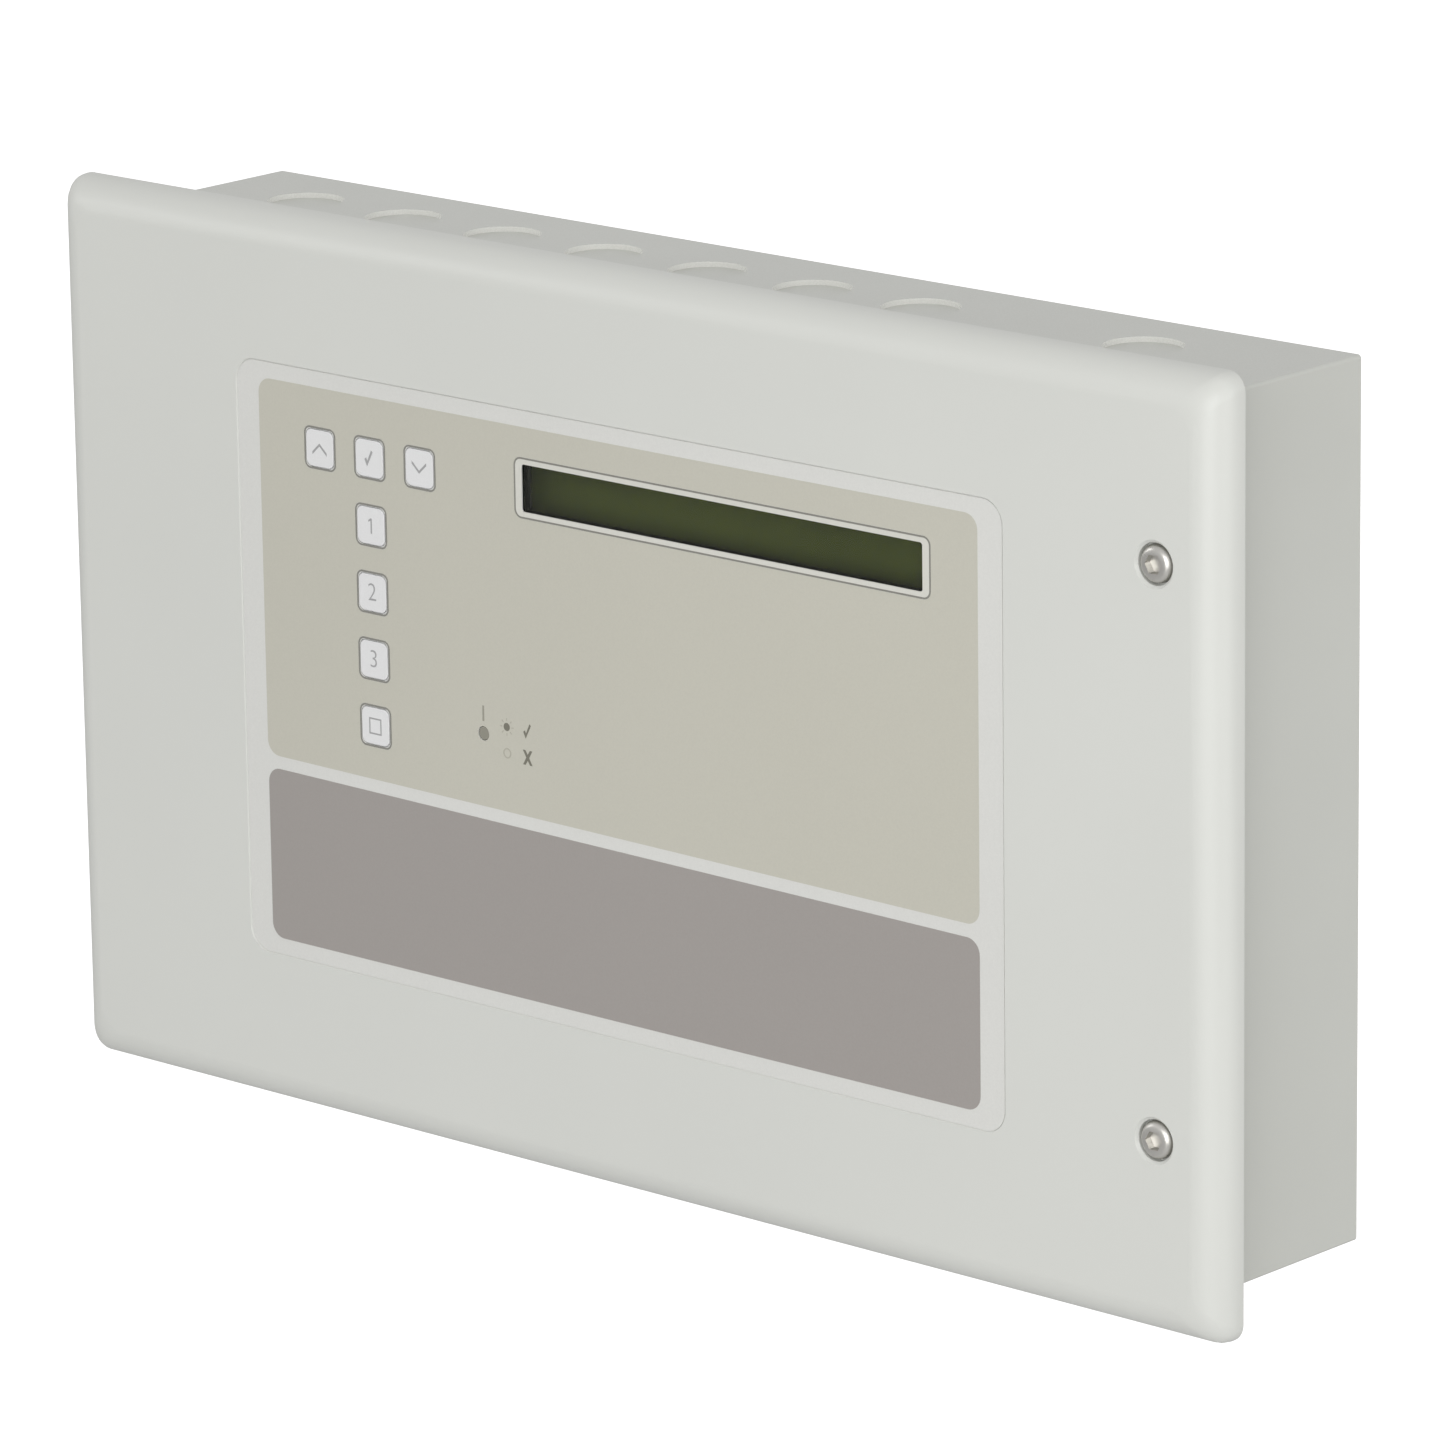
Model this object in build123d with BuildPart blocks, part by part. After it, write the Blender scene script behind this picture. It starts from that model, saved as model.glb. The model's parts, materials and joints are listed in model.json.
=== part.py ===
"""Wall-mounted alarm control panel: a hinged moulded lid over a folded steel back box.

Millimetres. The origin is at the centre of the back face, on the wall. +Z is up, the
front looks along -Y and +X is to the right of someone facing the panel. A "height"
below is a distance out from the wall, so a height h lies at y = -h.
"""
import math
import os

from build123d import *

os.makedirs("parts", exist_ok=True)

# ---------------------------------------------------------------- driving dimensions
# Whole panel
LID_W = 385.0           # lid, left to right
LID_H = 236.0           # lid, top to bottom
PANEL_DEPTH = 70.0      # wall to lid face
LID_DEPTH = 10.0        # lid face to lid rim
LID_WALL = 3.0          # lid moulding thickness
LID_EDGE_R = 9.0        # rounding round the lid face
LID_CORNER_R = 5.0      # lid corners, seen from the front
LID_EDGE_STEPS = 8      # outlines that the rounded edge is drawn through
OVERHANG_X = 13.0       # lid beyond the box, each side
OVERHANG_Z = 8.0        # lid beyond the box, top and bottom
SHEET = 1.2             # box sheet steel
BEND_R = 1.0            # outside radius of the box folds
LIP_W = 12.0            # inward lip round the front of the box
LID_TO_BOX = 7.0        # lid inner face to box lip

# Blanked cable entries pressed into the top of the box
ENTRY_R = 10.0
ENTRY_PITCH = 34.9
ENTRY_FIRST_X = -146.5
ENTRY_PLACES = 9
ENTRY_MISSING = 7       # the place left solid, counted from 0
ENTRY_SUNK = 1.4        # the blanks are pressed in by this much
ENTRY_SKIRT = 0.9       # metal round each pressed-in blank
ENTRY_HEIGHT = 24.0

# Wall fixings
FIXING_SPACING_X = 320.0
FIXING_SPACING_Z = 176.0
FIXING_R = 2.75

# Fascia label and what shows through it
FASCIA_X = 0.0          # centre of the fascia
FASCIA_Z = 1.3
FASCIA_W = 254.0
FASCIA_H = 156.0
FASCIA_R = 6.0
FASCIA_T = 0.3
FASCIA_RECESS = 0.5
LABEL_FIT = 0.1         # gap round the label
EDGE_EASE = 0.35        # eased edge of the label recess
FIT = 0.3               # gap between pieces that drop into one another
SEAT = 0.2              # gap where pieces rest lightly on one another

KEY_W = 9.4
KEY_H = 9.5
KEY_R = 1.8
KEY_PITCH = 17.4
KEY_COLUMN_X = -80.7
KEY_TOP_Z = 59.5
KEY_COLUMN_COUNT = 5
KEY_PROUD = 0.2
KEY_TRAVEL = 0.5
KEY_FLANGE = 1.1        # key flange beyond the key, all round
KEY_FLANGE_T = 0.6
KEY_STEM_R = 1.6
RUNNING = 0.07          # clearance of a stem or pin that moves in its bore
SWITCH_SIZE = 6.0
SWITCH_T = 3.5
SWITCH_EDGE = 0.5
KEY_EASE = 0.15         # eased edge of the key face

WINDOW_X = 37.0
WINDOW_Z = 59.7
WINDOW_W = 130.6
WINDOW_H = 12.1
WINDOW_R = 0.8
LENS_T = 1.4
LENS_LAP = 3.2          # lens beyond the window, all round
GASKET_STEP = 0.3       # gasket opening beyond the window, all round
GASKET_WALL = 1.5
GASKET_FIT = 0.1

LAMP_X = -43.0
LAMP_Z = -5.6
LAMP_R = 1.8
PIPE_COLLAR = 1.0       # light-pipe collar beyond the pipe
PIPE_COLLAR_T = 0.8
PIPE_STANDOFF = 4.4     # display board to the light pipe
PIPE_EASE = 0.4

# Display board, carried on posts inside the lid
BOARD_W = 244.0
BOARD_H = 144.0
BOARD_T = 1.6
POST_LENGTH = 8.0       # lid inner face to display board
POST_R = 3.5
POST_SPOTS = [(-115, 62), (-115, -62), (-4, 35), (-4, -62), (115, 35), (115, -62)]
SMALL_SCREW_R = 1.2
SMALL_HEAD_R = 2.8
SMALL_HEAD_T = 2.0
CROSS_LENGTH = 3.4      # cross slot in a small screw's head
CROSS_WIDTH = 0.7
CROSS_DEPTH = 0.8
SCREW_HOLE_GAP = 0.3    # board hole beyond the screw shank, all round
BOARD_CORNER_R = 2.0
SCREW_GRIP = 5.0        # small screw shank in its post or pillar
SCREW_POINT_ROOM = 2.0  # bore beyond the point of a small screw
SMALL_FIT = 0.05        # screw in its pilot bore
DISPLAY_PCB_W = 152.0
DISPLAY_PCB_H = 25.0
DISPLAY_FRAME_W = 144.0
DISPLAY_FRAME_H = 22.0
DISPLAY_FRAME_T = 5.0
FRAME_WALL = 0.8
FRAME_CORNER_R = 1.0
FRAME_SIGHT = 1.0       # frame opening beyond the window, all round
GLASS_T = 1.6

# Lid screws, captive in the lid
SCREW_INSET = 6.2       # screw axis inside the right side of the box
SCREW_SPACING_Z = 140.2
SCREW_R = 2.35
SCREW_LENGTH = 10.0
SCREW_HEAD_R = 4.75
SCREW_HEAD_T = 2.6
SCREW_KEY_AF = 3.0      # hexagon socket across flats
COUNTERBORE_R = 5.2
COUNTERBORE_EASE = 0.7
COUNTERBORE_DEPTH = 2.4
SCREW_PAD_R = 7.0
SCREW_PAD_T = 2.0       # material left under the screw head
SCREW_DOME_EDGE = 0.5   # straight edge left under the domed head
SCREW_POINT = 0.4
SOCKET_FLOOR = 0.8      # head seat to the floor of the socket
RETAINER_R = 4.4
RETAINER_T = 0.8
RETAINER_GAP = 0.5      # retainer to its insert with the screw driven home
INSERT_R = 3.5
INSERT_FLANGE_R = 4.5
INSERT_FLANGE_T = 0.8
INSERT_LENGTH = 9.0
INSERT_BORE_GAP = 0.15  # screw thread in its insert

# Hinges, in the gap between the box side and the lid skirt
HINGE_CLEARANCE = 0.4   # hinge barrel to the box side and to the skirt
HINGE_SPREAD = 150.0    # between the two hinges
PIN_R = 1.5
PIN_HEAD_T = 1.0
PRESS_GAP = 0.01        # pin in the barrels that it is pressed into
LEAF_DROP = 1.3         # hinge leaf below the barrels
LUG_LENGTH = 12.0
BARREL_LENGTH = 8.0
HINGE_END_GAP = 0.3
LEAF_T = 1.0
LEAF_REACH = 24.0
LUG_WEB = 5.0

# Main board, on pillars on the back wall
MAIN_X = -47.5
MAIN_Z = 27.5
MAIN_W = 205.0
MAIN_H = 125.0
PILLAR_LENGTH = 8.0
PILLAR_AF = 6.0
PILLAR_INSET_X = 6.0
PILLAR_INSET_Z = 20.0
PILLAR_BASE = 1.0       # solid foot of a pillar under its bore
TERMINAL_WAYS = 12
TERMINAL_PITCH = 5.08
TERMINAL_D = 10.0
TERMINAL_T = 12.0
PIN_PITCH = 2.54
PIN_SIZE = 0.64
HEADER_T = 8.5
MAIN_CHIP_W = 20.0
MAIN_CHIP_T = 2.5
DISPLAY_CHIP_W = 14.0
DISPLAY_CHIP_T = 1.6
CHIP_CORNER = 0.5

# Battery
BATTERY_W = 178.0
BATTERY_H = 60.0
BATTERY_D = 34.0
BATTERY_LEFT = -152.0
BATTERY_CORNER_R = 1.5
BATTERY_TAB_INSET = 14.0
CLAMP_W = 100.0
CLAMP_FOOT = 12.0
CLAMP_LIP = 12.0
CLAMP_STUD_INSET = 12.0

# Transformer
CORE_W = 66.0
CORE_H = 55.0
CORE_T = 24.0
CORE_LIMB = 11.0
CORE_LIFT = 8.0
CORE_X = 108.0
CORE_Z = -70.0
COIL_STANDOUT = 6.0
FOOT_REACH = 12.0

# Mains parts
MAINS_X = 128.0
MAINS_Z = 68.0
MAINS_W = 30.0
MAINS_H = 20.0
MAINS_T = 17.0
FUSE_X = 88.0
FUSE_LENGTH = 36.0
EARTH_X = 128.0
EARTH_Z = 38.0
STUD_R = 1.95
STUD_LENGTH = 7.0
NUT_AF = 7.0
NUT_T = 3.0
STUD_FIT = 0.15

# ---------------------------------------------------------------- worked-out sizes
BOX_W = LID_W - 2 * OVERHANG_X
BOX_H = LID_H - 2 * OVERHANG_Z
RIM_HEIGHT = PANEL_DEPTH - LID_DEPTH
LID_INSIDE = PANEL_DEPTH - LID_WALL
BOX_FRONT = LID_INSIDE - LID_TO_BOX
FLOOR = SHEET
RECESS_FLOOR = PANEL_DEPTH - FASCIA_RECESS
FASCIA_FRONT = RECESS_FLOOR + FASCIA_T
KEY_FRONT = FASCIA_FRONT + KEY_PROUD
FLANGE_FRONT = RECESS_FLOOR - SEAT
FLANGE_BACK = FLANGE_FRONT - KEY_FLANGE_T
KEY_POCKET_FLOOR = FLANGE_BACK - KEY_TRAVEL - SEAT
KEY_SPOTS = (
    [(KEY_COLUMN_X - KEY_PITCH, KEY_TOP_Z), (KEY_COLUMN_X + KEY_PITCH, KEY_TOP_Z)]
    + [(KEY_COLUMN_X, KEY_TOP_Z - row * KEY_PITCH) for row in range(KEY_COLUMN_COUNT)]
)
KEY_NAMES = ["key_up", "key_down", "key_accept", "key_1", "key_2", "key_3", "key_enter"]
BOARD_FRONT = LID_INSIDE - POST_LENGTH
BOARD_BACK = BOARD_FRONT - BOARD_T
BOARD_POSTS = [(FASCIA_X + x, FASCIA_Z + z) for x, z in POST_SPOTS]
LENS_BACK = RECESS_FLOOR - LENS_T
APERTURE_STEP = GASKET_STEP + GASKET_WALL + GASKET_FIT
DISPLAY_PCB_BACK = BOARD_FRONT + FIT
DISPLAY_PCB_FRONT = DISPLAY_PCB_BACK + BOARD_T
SCREW_X = BOX_W / 2 - SCREW_INSET
SCREW_SPOTS = [(SCREW_X, FASCIA_Z + side * SCREW_SPACING_Z / 2) for side in (1, -1)]
HEAD_SEAT = PANEL_DEPTH - COUNTERBORE_DEPTH
SCREW_PAD_BACK = HEAD_SEAT - SCREW_PAD_T
SCREW_TIP = HEAD_SEAT - SCREW_LENGTH
RETAINER_BACK = BOX_FRONT + INSERT_FLANGE_T + RETAINER_GAP
HINGE_GAP = (OVERHANG_X - LID_WALL) / 2
HINGE_X = -BOX_W / 2 - HINGE_GAP
BARREL_R = HINGE_GAP - HINGE_CLEARANCE
MAIN_BACK = FLOOR + PILLAR_LENGTH
MAIN_FRONT = MAIN_BACK + BOARD_T
PILLAR_SPOTS = [
    (MAIN_X + column * (MAIN_W / 2 - PILLAR_INSET_X), MAIN_Z + row * (MAIN_H / 2 - PILLAR_INSET_Z))
    for column in (-1, 0, 1)
    for row in (-1, 1)
]
BATTERY_BOTTOM = -BOX_H / 2 + SHEET + FIT
BATTERY_TOP = BATTERY_BOTTOM + BATTERY_H
BATTERY_X = BATTERY_LEFT + BATTERY_W / 2
BATTERY_BACK = FLOOR + FIT
BATTERY_FRONT = BATTERY_BACK + BATTERY_D
CLAMP_SHELF = BATTERY_TOP + FIT
CLAMP_STUDS = [
    (BATTERY_X + side * (CLAMP_W / 2 - CLAMP_STUD_INSET), CLAMP_SHELF + SHEET + CLAMP_FOOT / 2)
    for side in (-1, 1)
]
CORE_BACK = FLOOR + CORE_LIFT
CORE_FRONT = CORE_BACK + CORE_T
STRAP_STUDS = [
    (CORE_X + side * (CORE_W / 2 + FIT + SHEET + FOOT_REACH / 2), CORE_Z)
    for side in (-1, 1)
]
EARTH_SPOTS = [(EARTH_X, EARTH_Z)]
STUD_SPOTS = CLAMP_STUDS + STRAP_STUDS + EARTH_SPOTS


def at_height(height):
    """Plane parallel to the wall at a height, looking at the viewer."""
    return Plane.XZ.offset(height)


def save(part, name):
    """Label a finished piece and write its STEP file."""
    part.label = name
    export_step(part, f"parts/{name}.step")


# ---------------------------------------------------------------- back box
def make_back_box():
    """Folded steel tray with an inward front lip and blanked cable entries."""
    entry_spots = [
        (ENTRY_FIRST_X + place * ENTRY_PITCH, -ENTRY_HEIGHT)
        for place in range(ENTRY_PLACES)
        if place != ENTRY_MISSING
    ]
    with BuildPart() as back_box:
        with BuildSketch(at_height(0)):
            Rectangle(BOX_W, BOX_H)
        extrude(amount=BOX_FRONT)
        fillet(back_box.edges().filter_by(Axis.Y), BEND_R)
        with BuildSketch(at_height(SHEET)):
            Rectangle(BOX_W - 2 * SHEET, BOX_H - 2 * SHEET)
        extrude(amount=BOX_FRONT - 2 * SHEET, mode=Mode.SUBTRACT)
        with BuildSketch(at_height(BOX_FRONT - SHEET)):
            RectangleRounded(BOX_W - 2 * LIP_W, BOX_H - 2 * LIP_W, BEND_R)
            with Locations(*SCREW_SPOTS):
                Circle(INSERT_R + SMALL_FIT)
        extrude(amount=SHEET, mode=Mode.SUBTRACT)
        with BuildSketch(at_height(0)):
            with GridLocations(FIXING_SPACING_X, FIXING_SPACING_Z, 2, 2):
                Circle(FIXING_R)
        extrude(amount=SHEET, mode=Mode.SUBTRACT)
        with BuildSketch(Plane.XY.offset(BOX_H / 2 - SHEET - ENTRY_SUNK)):
            with Locations(*entry_spots):
                Circle(ENTRY_R + ENTRY_SKIRT)
        extrude(amount=ENTRY_SUNK)
        with BuildSketch(Plane.XY.offset(BOX_H / 2 - ENTRY_SUNK)):
            with Locations(*entry_spots):
                Circle(ENTRY_R)
        extrude(amount=ENTRY_SUNK, mode=Mode.SUBTRACT)
    save(back_box.part, "back_box")


def make_screw_inserts():
    """Threaded rivet inserts in the right-hand lip of the box."""
    with BuildPart() as inserts:
        with BuildSketch(at_height(BOX_FRONT)):
            with Locations(*SCREW_SPOTS):
                Circle(INSERT_FLANGE_R)
        extrude(amount=INSERT_FLANGE_T)
        with BuildSketch(at_height(BOX_FRONT - INSERT_LENGTH)):
            with Locations(*SCREW_SPOTS):
                Circle(INSERT_R)
        extrude(amount=INSERT_LENGTH)
        with BuildSketch(at_height(BOX_FRONT - INSERT_LENGTH)):
            with Locations(*SCREW_SPOTS):
                Circle(SCREW_R + INSERT_BORE_GAP)
        extrude(amount=INSERT_LENGTH + INSERT_FLANGE_T, mode=Mode.SUBTRACT)
    save(inserts.part, "screw_inserts")


# ---------------------------------------------------------------- hinges
def hinge_barrel_bases():
    """Lower ends, in z, of the two barrels of each hinge."""
    offset = LUG_LENGTH / 2 + HINGE_END_GAP
    bases = []
    for side in (-1, 1):
        middle = side * HINGE_SPREAD / 2
        bases.append(middle + offset)
        bases.append(middle - offset - BARREL_LENGTH)
    return bases


def make_hinge_leaves():
    """A leaf with two barrels for each hinge, welded to the left side of the box."""
    leaf_length = LUG_LENGTH + 2 * (HINGE_END_GAP + BARREL_LENGTH)
    leaf_x = -BOX_W / 2 - LEAF_T / 2
    leaf_clear = RIM_HEIGHT - BARREL_R - LEAF_DROP
    with BuildPart() as leaves:
        for side in (-1, 1):
            with BuildSketch(Plane.XY.offset(side * HINGE_SPREAD / 2 - leaf_length / 2)):
                with Locations((leaf_x, -leaf_clear + LEAF_REACH / 2)):
                    Rectangle(LEAF_T, LEAF_REACH)
            extrude(amount=leaf_length)
        for base in hinge_barrel_bases():
            with BuildSketch(Plane.XY.offset(base)):
                with Locations((HINGE_X, -RIM_HEIGHT)):
                    Circle(BARREL_R)
                with Locations((leaf_x, -RIM_HEIGHT + BARREL_R)):
                    Rectangle(LEAF_T, 2 * BARREL_R)
                with Locations((HINGE_X, -RIM_HEIGHT)):
                    Circle(PIN_R + PRESS_GAP, mode=Mode.SUBTRACT)
            extrude(amount=BARREL_LENGTH)
    save(leaves.part, "hinge_leaves")


def make_hinge_pins():
    """Headed pins, pressed into the leaf barrels, that the lid lugs turn on."""
    length = LUG_LENGTH + 2 * (HINGE_END_GAP + BARREL_LENGTH)
    with BuildPart() as pins:
        for side in (-1, 1):
            base = side * HINGE_SPREAD / 2 - length / 2
            with BuildSketch(Plane.XY.offset(base)):
                with Locations((HINGE_X, -RIM_HEIGHT)):
                    Circle(PIN_R)
            extrude(amount=length)
            with BuildSketch(Plane.XY.offset(base + length)):
                with Locations((HINGE_X, -RIM_HEIGHT)):
                    Circle(BARREL_R - HINGE_CLEARANCE)
            extrude(amount=PIN_HEAD_T)
    save(pins.part, "hinge_pins")


# ---------------------------------------------------------------- lid
def rounded_slab(width, height, corner_r, edge_r, face_height):
    """A slab from the lid rim to a face, whose edges turn in along a quarter circle."""
    shoulder = face_height - edge_r
    with BuildPart() as slab:
        with BuildSketch(at_height(RIM_HEIGHT)):
            RectangleRounded(width, height, corner_r)
        extrude(amount=shoulder - RIM_HEIGHT)
        for step in range(LID_EDGE_STEPS + 1):
            turn = math.radians(90 * step / LID_EDGE_STEPS)
            inset = edge_r * (1 - math.cos(turn))
            with BuildSketch(at_height(shoulder + edge_r * math.sin(turn))):
                RectangleRounded(width - 2 * inset, height - 2 * inset, corner_r)
        loft()
    return slab.part


def make_lid():
    """Moulded lid: a shallow dish with label recess, pockets, posts and hinge lugs."""
    key_pocket_w = KEY_W + 2 * (KEY_FLANGE + FIT)
    key_pocket_h = KEY_H + 2 * (KEY_FLANGE + FIT)
    weld = 0.1
    inside_w = LID_W - 2 * LID_WALL
    inside_h = LID_H - 2 * LID_WALL
    inside_corner_r = LID_CORNER_R - LID_WALL
    inside_edge_r = LID_EDGE_R - LID_WALL
    with BuildPart() as lid:
        add(rounded_slab(LID_W, LID_H, LID_CORNER_R, LID_EDGE_R, PANEL_DEPTH))
        add(rounded_slab(inside_w, inside_h, inside_corner_r, inside_edge_r, LID_INSIDE),
            mode=Mode.SUBTRACT)
        with BuildSketch(at_height(SCREW_PAD_BACK)):
            with Locations(*SCREW_SPOTS):
                Circle(SCREW_PAD_R)
        extrude(amount=LID_INSIDE - SCREW_PAD_BACK + weld)
        with BuildSketch(at_height(BOARD_FRONT)):
            with Locations(*BOARD_POSTS):
                Circle(POST_R)
        extrude(amount=POST_LENGTH + weld)
        with BuildSketch(at_height(BOARD_FRONT)):
            with Locations(*BOARD_POSTS):
                Circle(SMALL_SCREW_R + SMALL_FIT)
        extrude(amount=SCREW_GRIP + SCREW_POINT_ROOM, mode=Mode.SUBTRACT)
        with BuildSketch(at_height(RECESS_FLOOR)):
            with Locations((FASCIA_X, FASCIA_Z)):
                RectangleRounded(
                    FASCIA_W + 2 * LABEL_FIT, FASCIA_H + 2 * LABEL_FIT, FASCIA_R + LABEL_FIT
                )
        extrude(amount=FASCIA_RECESS, mode=Mode.SUBTRACT)
        with BuildSketch(at_height(HEAD_SEAT)):
            with Locations(*SCREW_SPOTS):
                Circle(COUNTERBORE_R)
        extrude(amount=COUNTERBORE_DEPTH, mode=Mode.SUBTRACT)
        rims = lid.faces().sort_by(Axis.Y)[0].inner_wires().edges()
        bore_rims = rims.filter_by(lambda edge: edge.length > math.pi * COUNTERBORE_R).filter_by(
            GeomType.CIRCLE
        )
        chamfer([edge for edge in rims if edge not in bore_rims], EDGE_EASE)
        chamfer(bore_rims, COUNTERBORE_EASE)
        with BuildSketch(at_height(KEY_POCKET_FLOOR)):
            with Locations(*KEY_SPOTS):
                RectangleRounded(key_pocket_w, key_pocket_h, KEY_R + KEY_FLANGE + FIT)
        extrude(amount=RECESS_FLOOR - KEY_POCKET_FLOOR, mode=Mode.SUBTRACT)
        with BuildSketch(at_height(LID_INSIDE)):
            with Locations(*KEY_SPOTS):
                Circle(KEY_STEM_R + RUNNING)
            with Locations((WINDOW_X, WINDOW_Z)):
                RectangleRounded(
                    WINDOW_W + 2 * APERTURE_STEP, WINDOW_H + 2 * APERTURE_STEP, WINDOW_R
                )
            with Locations((LAMP_X, LAMP_Z)):
                Circle(LAMP_R + RUNNING)
        extrude(amount=LID_WALL, mode=Mode.SUBTRACT)
        with BuildSketch(at_height(LENS_BACK - SEAT)):
            with Locations((WINDOW_X, WINDOW_Z)):
                RectangleRounded(
                    WINDOW_W + 2 * (LENS_LAP + FIT),
                    WINDOW_H + 2 * (LENS_LAP + FIT),
                    WINDOW_R + LENS_LAP,
                )
        extrude(amount=RECESS_FLOOR - LENS_BACK + SEAT, mode=Mode.SUBTRACT)
        with BuildSketch(at_height(SCREW_PAD_BACK)):
            with Locations(*SCREW_SPOTS):
                Circle(SCREW_R + RUNNING)
        extrude(amount=SCREW_PAD_T, mode=Mode.SUBTRACT)
        for side in (-1, 1):
            with BuildSketch(Plane.XY.offset(side * HINGE_SPREAD / 2 - LUG_LENGTH / 2)):
                with Locations((HINGE_X, -RIM_HEIGHT)):
                    Circle(BARREL_R)
                skirt_x = -LID_W / 2 + LID_WALL / 2
                with Locations(((HINGE_X + skirt_x) / 2, -RIM_HEIGHT - LUG_WEB / 2)):
                    Rectangle(HINGE_X - skirt_x, LUG_WEB)
                with Locations((HINGE_X, -RIM_HEIGHT)):
                    Circle(PIN_R + RUNNING, mode=Mode.SUBTRACT)
            extrude(amount=LUG_LENGTH)
    save(lid.part, "lid")


def make_fascia():
    """Printed label in the lid recess, cut out for the keys, the window and the lamp."""
    with BuildPart() as fascia:
        with BuildSketch(at_height(RECESS_FLOOR)):
            with Locations((FASCIA_X, FASCIA_Z)):
                RectangleRounded(FASCIA_W, FASCIA_H, FASCIA_R)
            with Locations(*KEY_SPOTS):
                RectangleRounded(
                    KEY_W + 2 * FIT, KEY_H + 2 * FIT, KEY_R + FIT, mode=Mode.SUBTRACT
                )
            with Locations((WINDOW_X, WINDOW_Z)):
                RectangleRounded(WINDOW_W, WINDOW_H, WINDOW_R, mode=Mode.SUBTRACT)
            with Locations((LAMP_X, LAMP_Z)):
                Circle(LAMP_R + RUNNING, mode=Mode.SUBTRACT)
        extrude(amount=FASCIA_T)
    save(fascia.part, "fascia_label")


def make_window():
    """Clear lens held under the label, in front of the display."""
    with BuildPart() as lens:
        with BuildSketch(at_height(LENS_BACK)):
            with Locations((WINDOW_X, WINDOW_Z)):
                RectangleRounded(
                    WINDOW_W + 2 * LENS_LAP, WINDOW_H + 2 * LENS_LAP, WINDOW_R + LENS_LAP - FIT
                )
        extrude(amount=LENS_T - SEAT)
    save(lens.part, "display_window")


def make_display_gasket():
    """Black foam frame between the display and the lens, lining the lid opening."""
    back = DISPLAY_PCB_FRONT + DISPLAY_FRAME_T + GASKET_FIT
    opening_w = WINDOW_W + 2 * GASKET_STEP
    opening_h = WINDOW_H + 2 * GASKET_STEP
    with BuildPart() as gasket:
        with BuildSketch(at_height(back)):
            with Locations((WINDOW_X, WINDOW_Z)):
                RectangleRounded(
                    opening_w + 2 * GASKET_WALL, opening_h + 2 * GASKET_WALL, WINDOW_R
                )
                RectangleRounded(opening_w, opening_h, WINDOW_R, mode=Mode.SUBTRACT)
        extrude(amount=LENS_BACK - GASKET_FIT - back)
    save(gasket.part, "display_gasket")


def make_key(name, spot):
    """Key pad with the flange that keeps it behind the label and the stem it presses."""
    stem_end = BOARD_FRONT + SWITCH_T + KEY_TRAVEL + SEAT
    with BuildPart() as key:
        with BuildSketch(at_height(FLANGE_BACK)):
            with Locations(spot):
                RectangleRounded(
                    KEY_W + 2 * KEY_FLANGE, KEY_H + 2 * KEY_FLANGE, KEY_R + KEY_FLANGE
                )
        extrude(amount=KEY_FLANGE_T)
        with BuildSketch(at_height(FLANGE_FRONT)):
            with Locations(spot):
                RectangleRounded(KEY_W, KEY_H, KEY_R)
        extrude(amount=KEY_FRONT - FLANGE_FRONT)
        fillet(key.faces().sort_by(Axis.Y)[0].edges(), KEY_EASE)
        with BuildSketch(at_height(stem_end)):
            with Locations(spot):
                Circle(KEY_STEM_R)
        extrude(amount=FLANGE_BACK - stem_end)
    save(key.part, name)


def make_key_switches():
    """Seven tactile switch housings on the display board, one under each key."""
    with BuildPart() as switches:
        with BuildSketch(at_height(BOARD_FRONT)):
            with Locations(*KEY_SPOTS):
                Rectangle(SWITCH_SIZE, SWITCH_SIZE)
        extrude(amount=SWITCH_T)
        chamfer(switches.edges().filter_by(Axis.Y), SWITCH_EDGE)
    save(switches.part, "key_switches")


def make_light_pipe():
    """Light pipe from the status lamp to the face, with the collar that keeps it in."""
    with BuildPart() as pipe:
        with BuildSketch(at_height(LID_INSIDE - SEAT - PIPE_COLLAR_T)):
            with Locations((LAMP_X, LAMP_Z)):
                Circle(LAMP_R + PIPE_COLLAR)
        extrude(amount=PIPE_COLLAR_T)
        with BuildSketch(at_height(BOARD_FRONT + PIPE_STANDOFF)):
            with Locations((LAMP_X, LAMP_Z)):
                Circle(LAMP_R)
        extrude(amount=FASCIA_FRONT - BOARD_FRONT - PIPE_STANDOFF)
        fillet(pipe.faces().sort_by(Axis.Y)[0].edges(), PIPE_EASE)
    save(pipe.part, "status_light_pipe")


def make_status_lamp():
    """Round light-emitting diode under the light pipe."""
    flange_r = 1.9
    flange_t = 1.0
    body_r = 1.5
    body_length = 3.1
    dome_r = 1.2
    with BuildPart() as lamp:
        with BuildSketch(at_height(BOARD_FRONT)):
            with Locations((LAMP_X, LAMP_Z)):
                Circle(flange_r)
        extrude(amount=flange_t)
        with BuildSketch(at_height(BOARD_FRONT + flange_t)):
            with Locations((LAMP_X, LAMP_Z)):
                Circle(body_r)
        extrude(amount=body_length)
        fillet(lamp.faces().sort_by(Axis.Y)[0].edges(), dome_r)
    save(lamp.part, "status_lamp")


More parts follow.
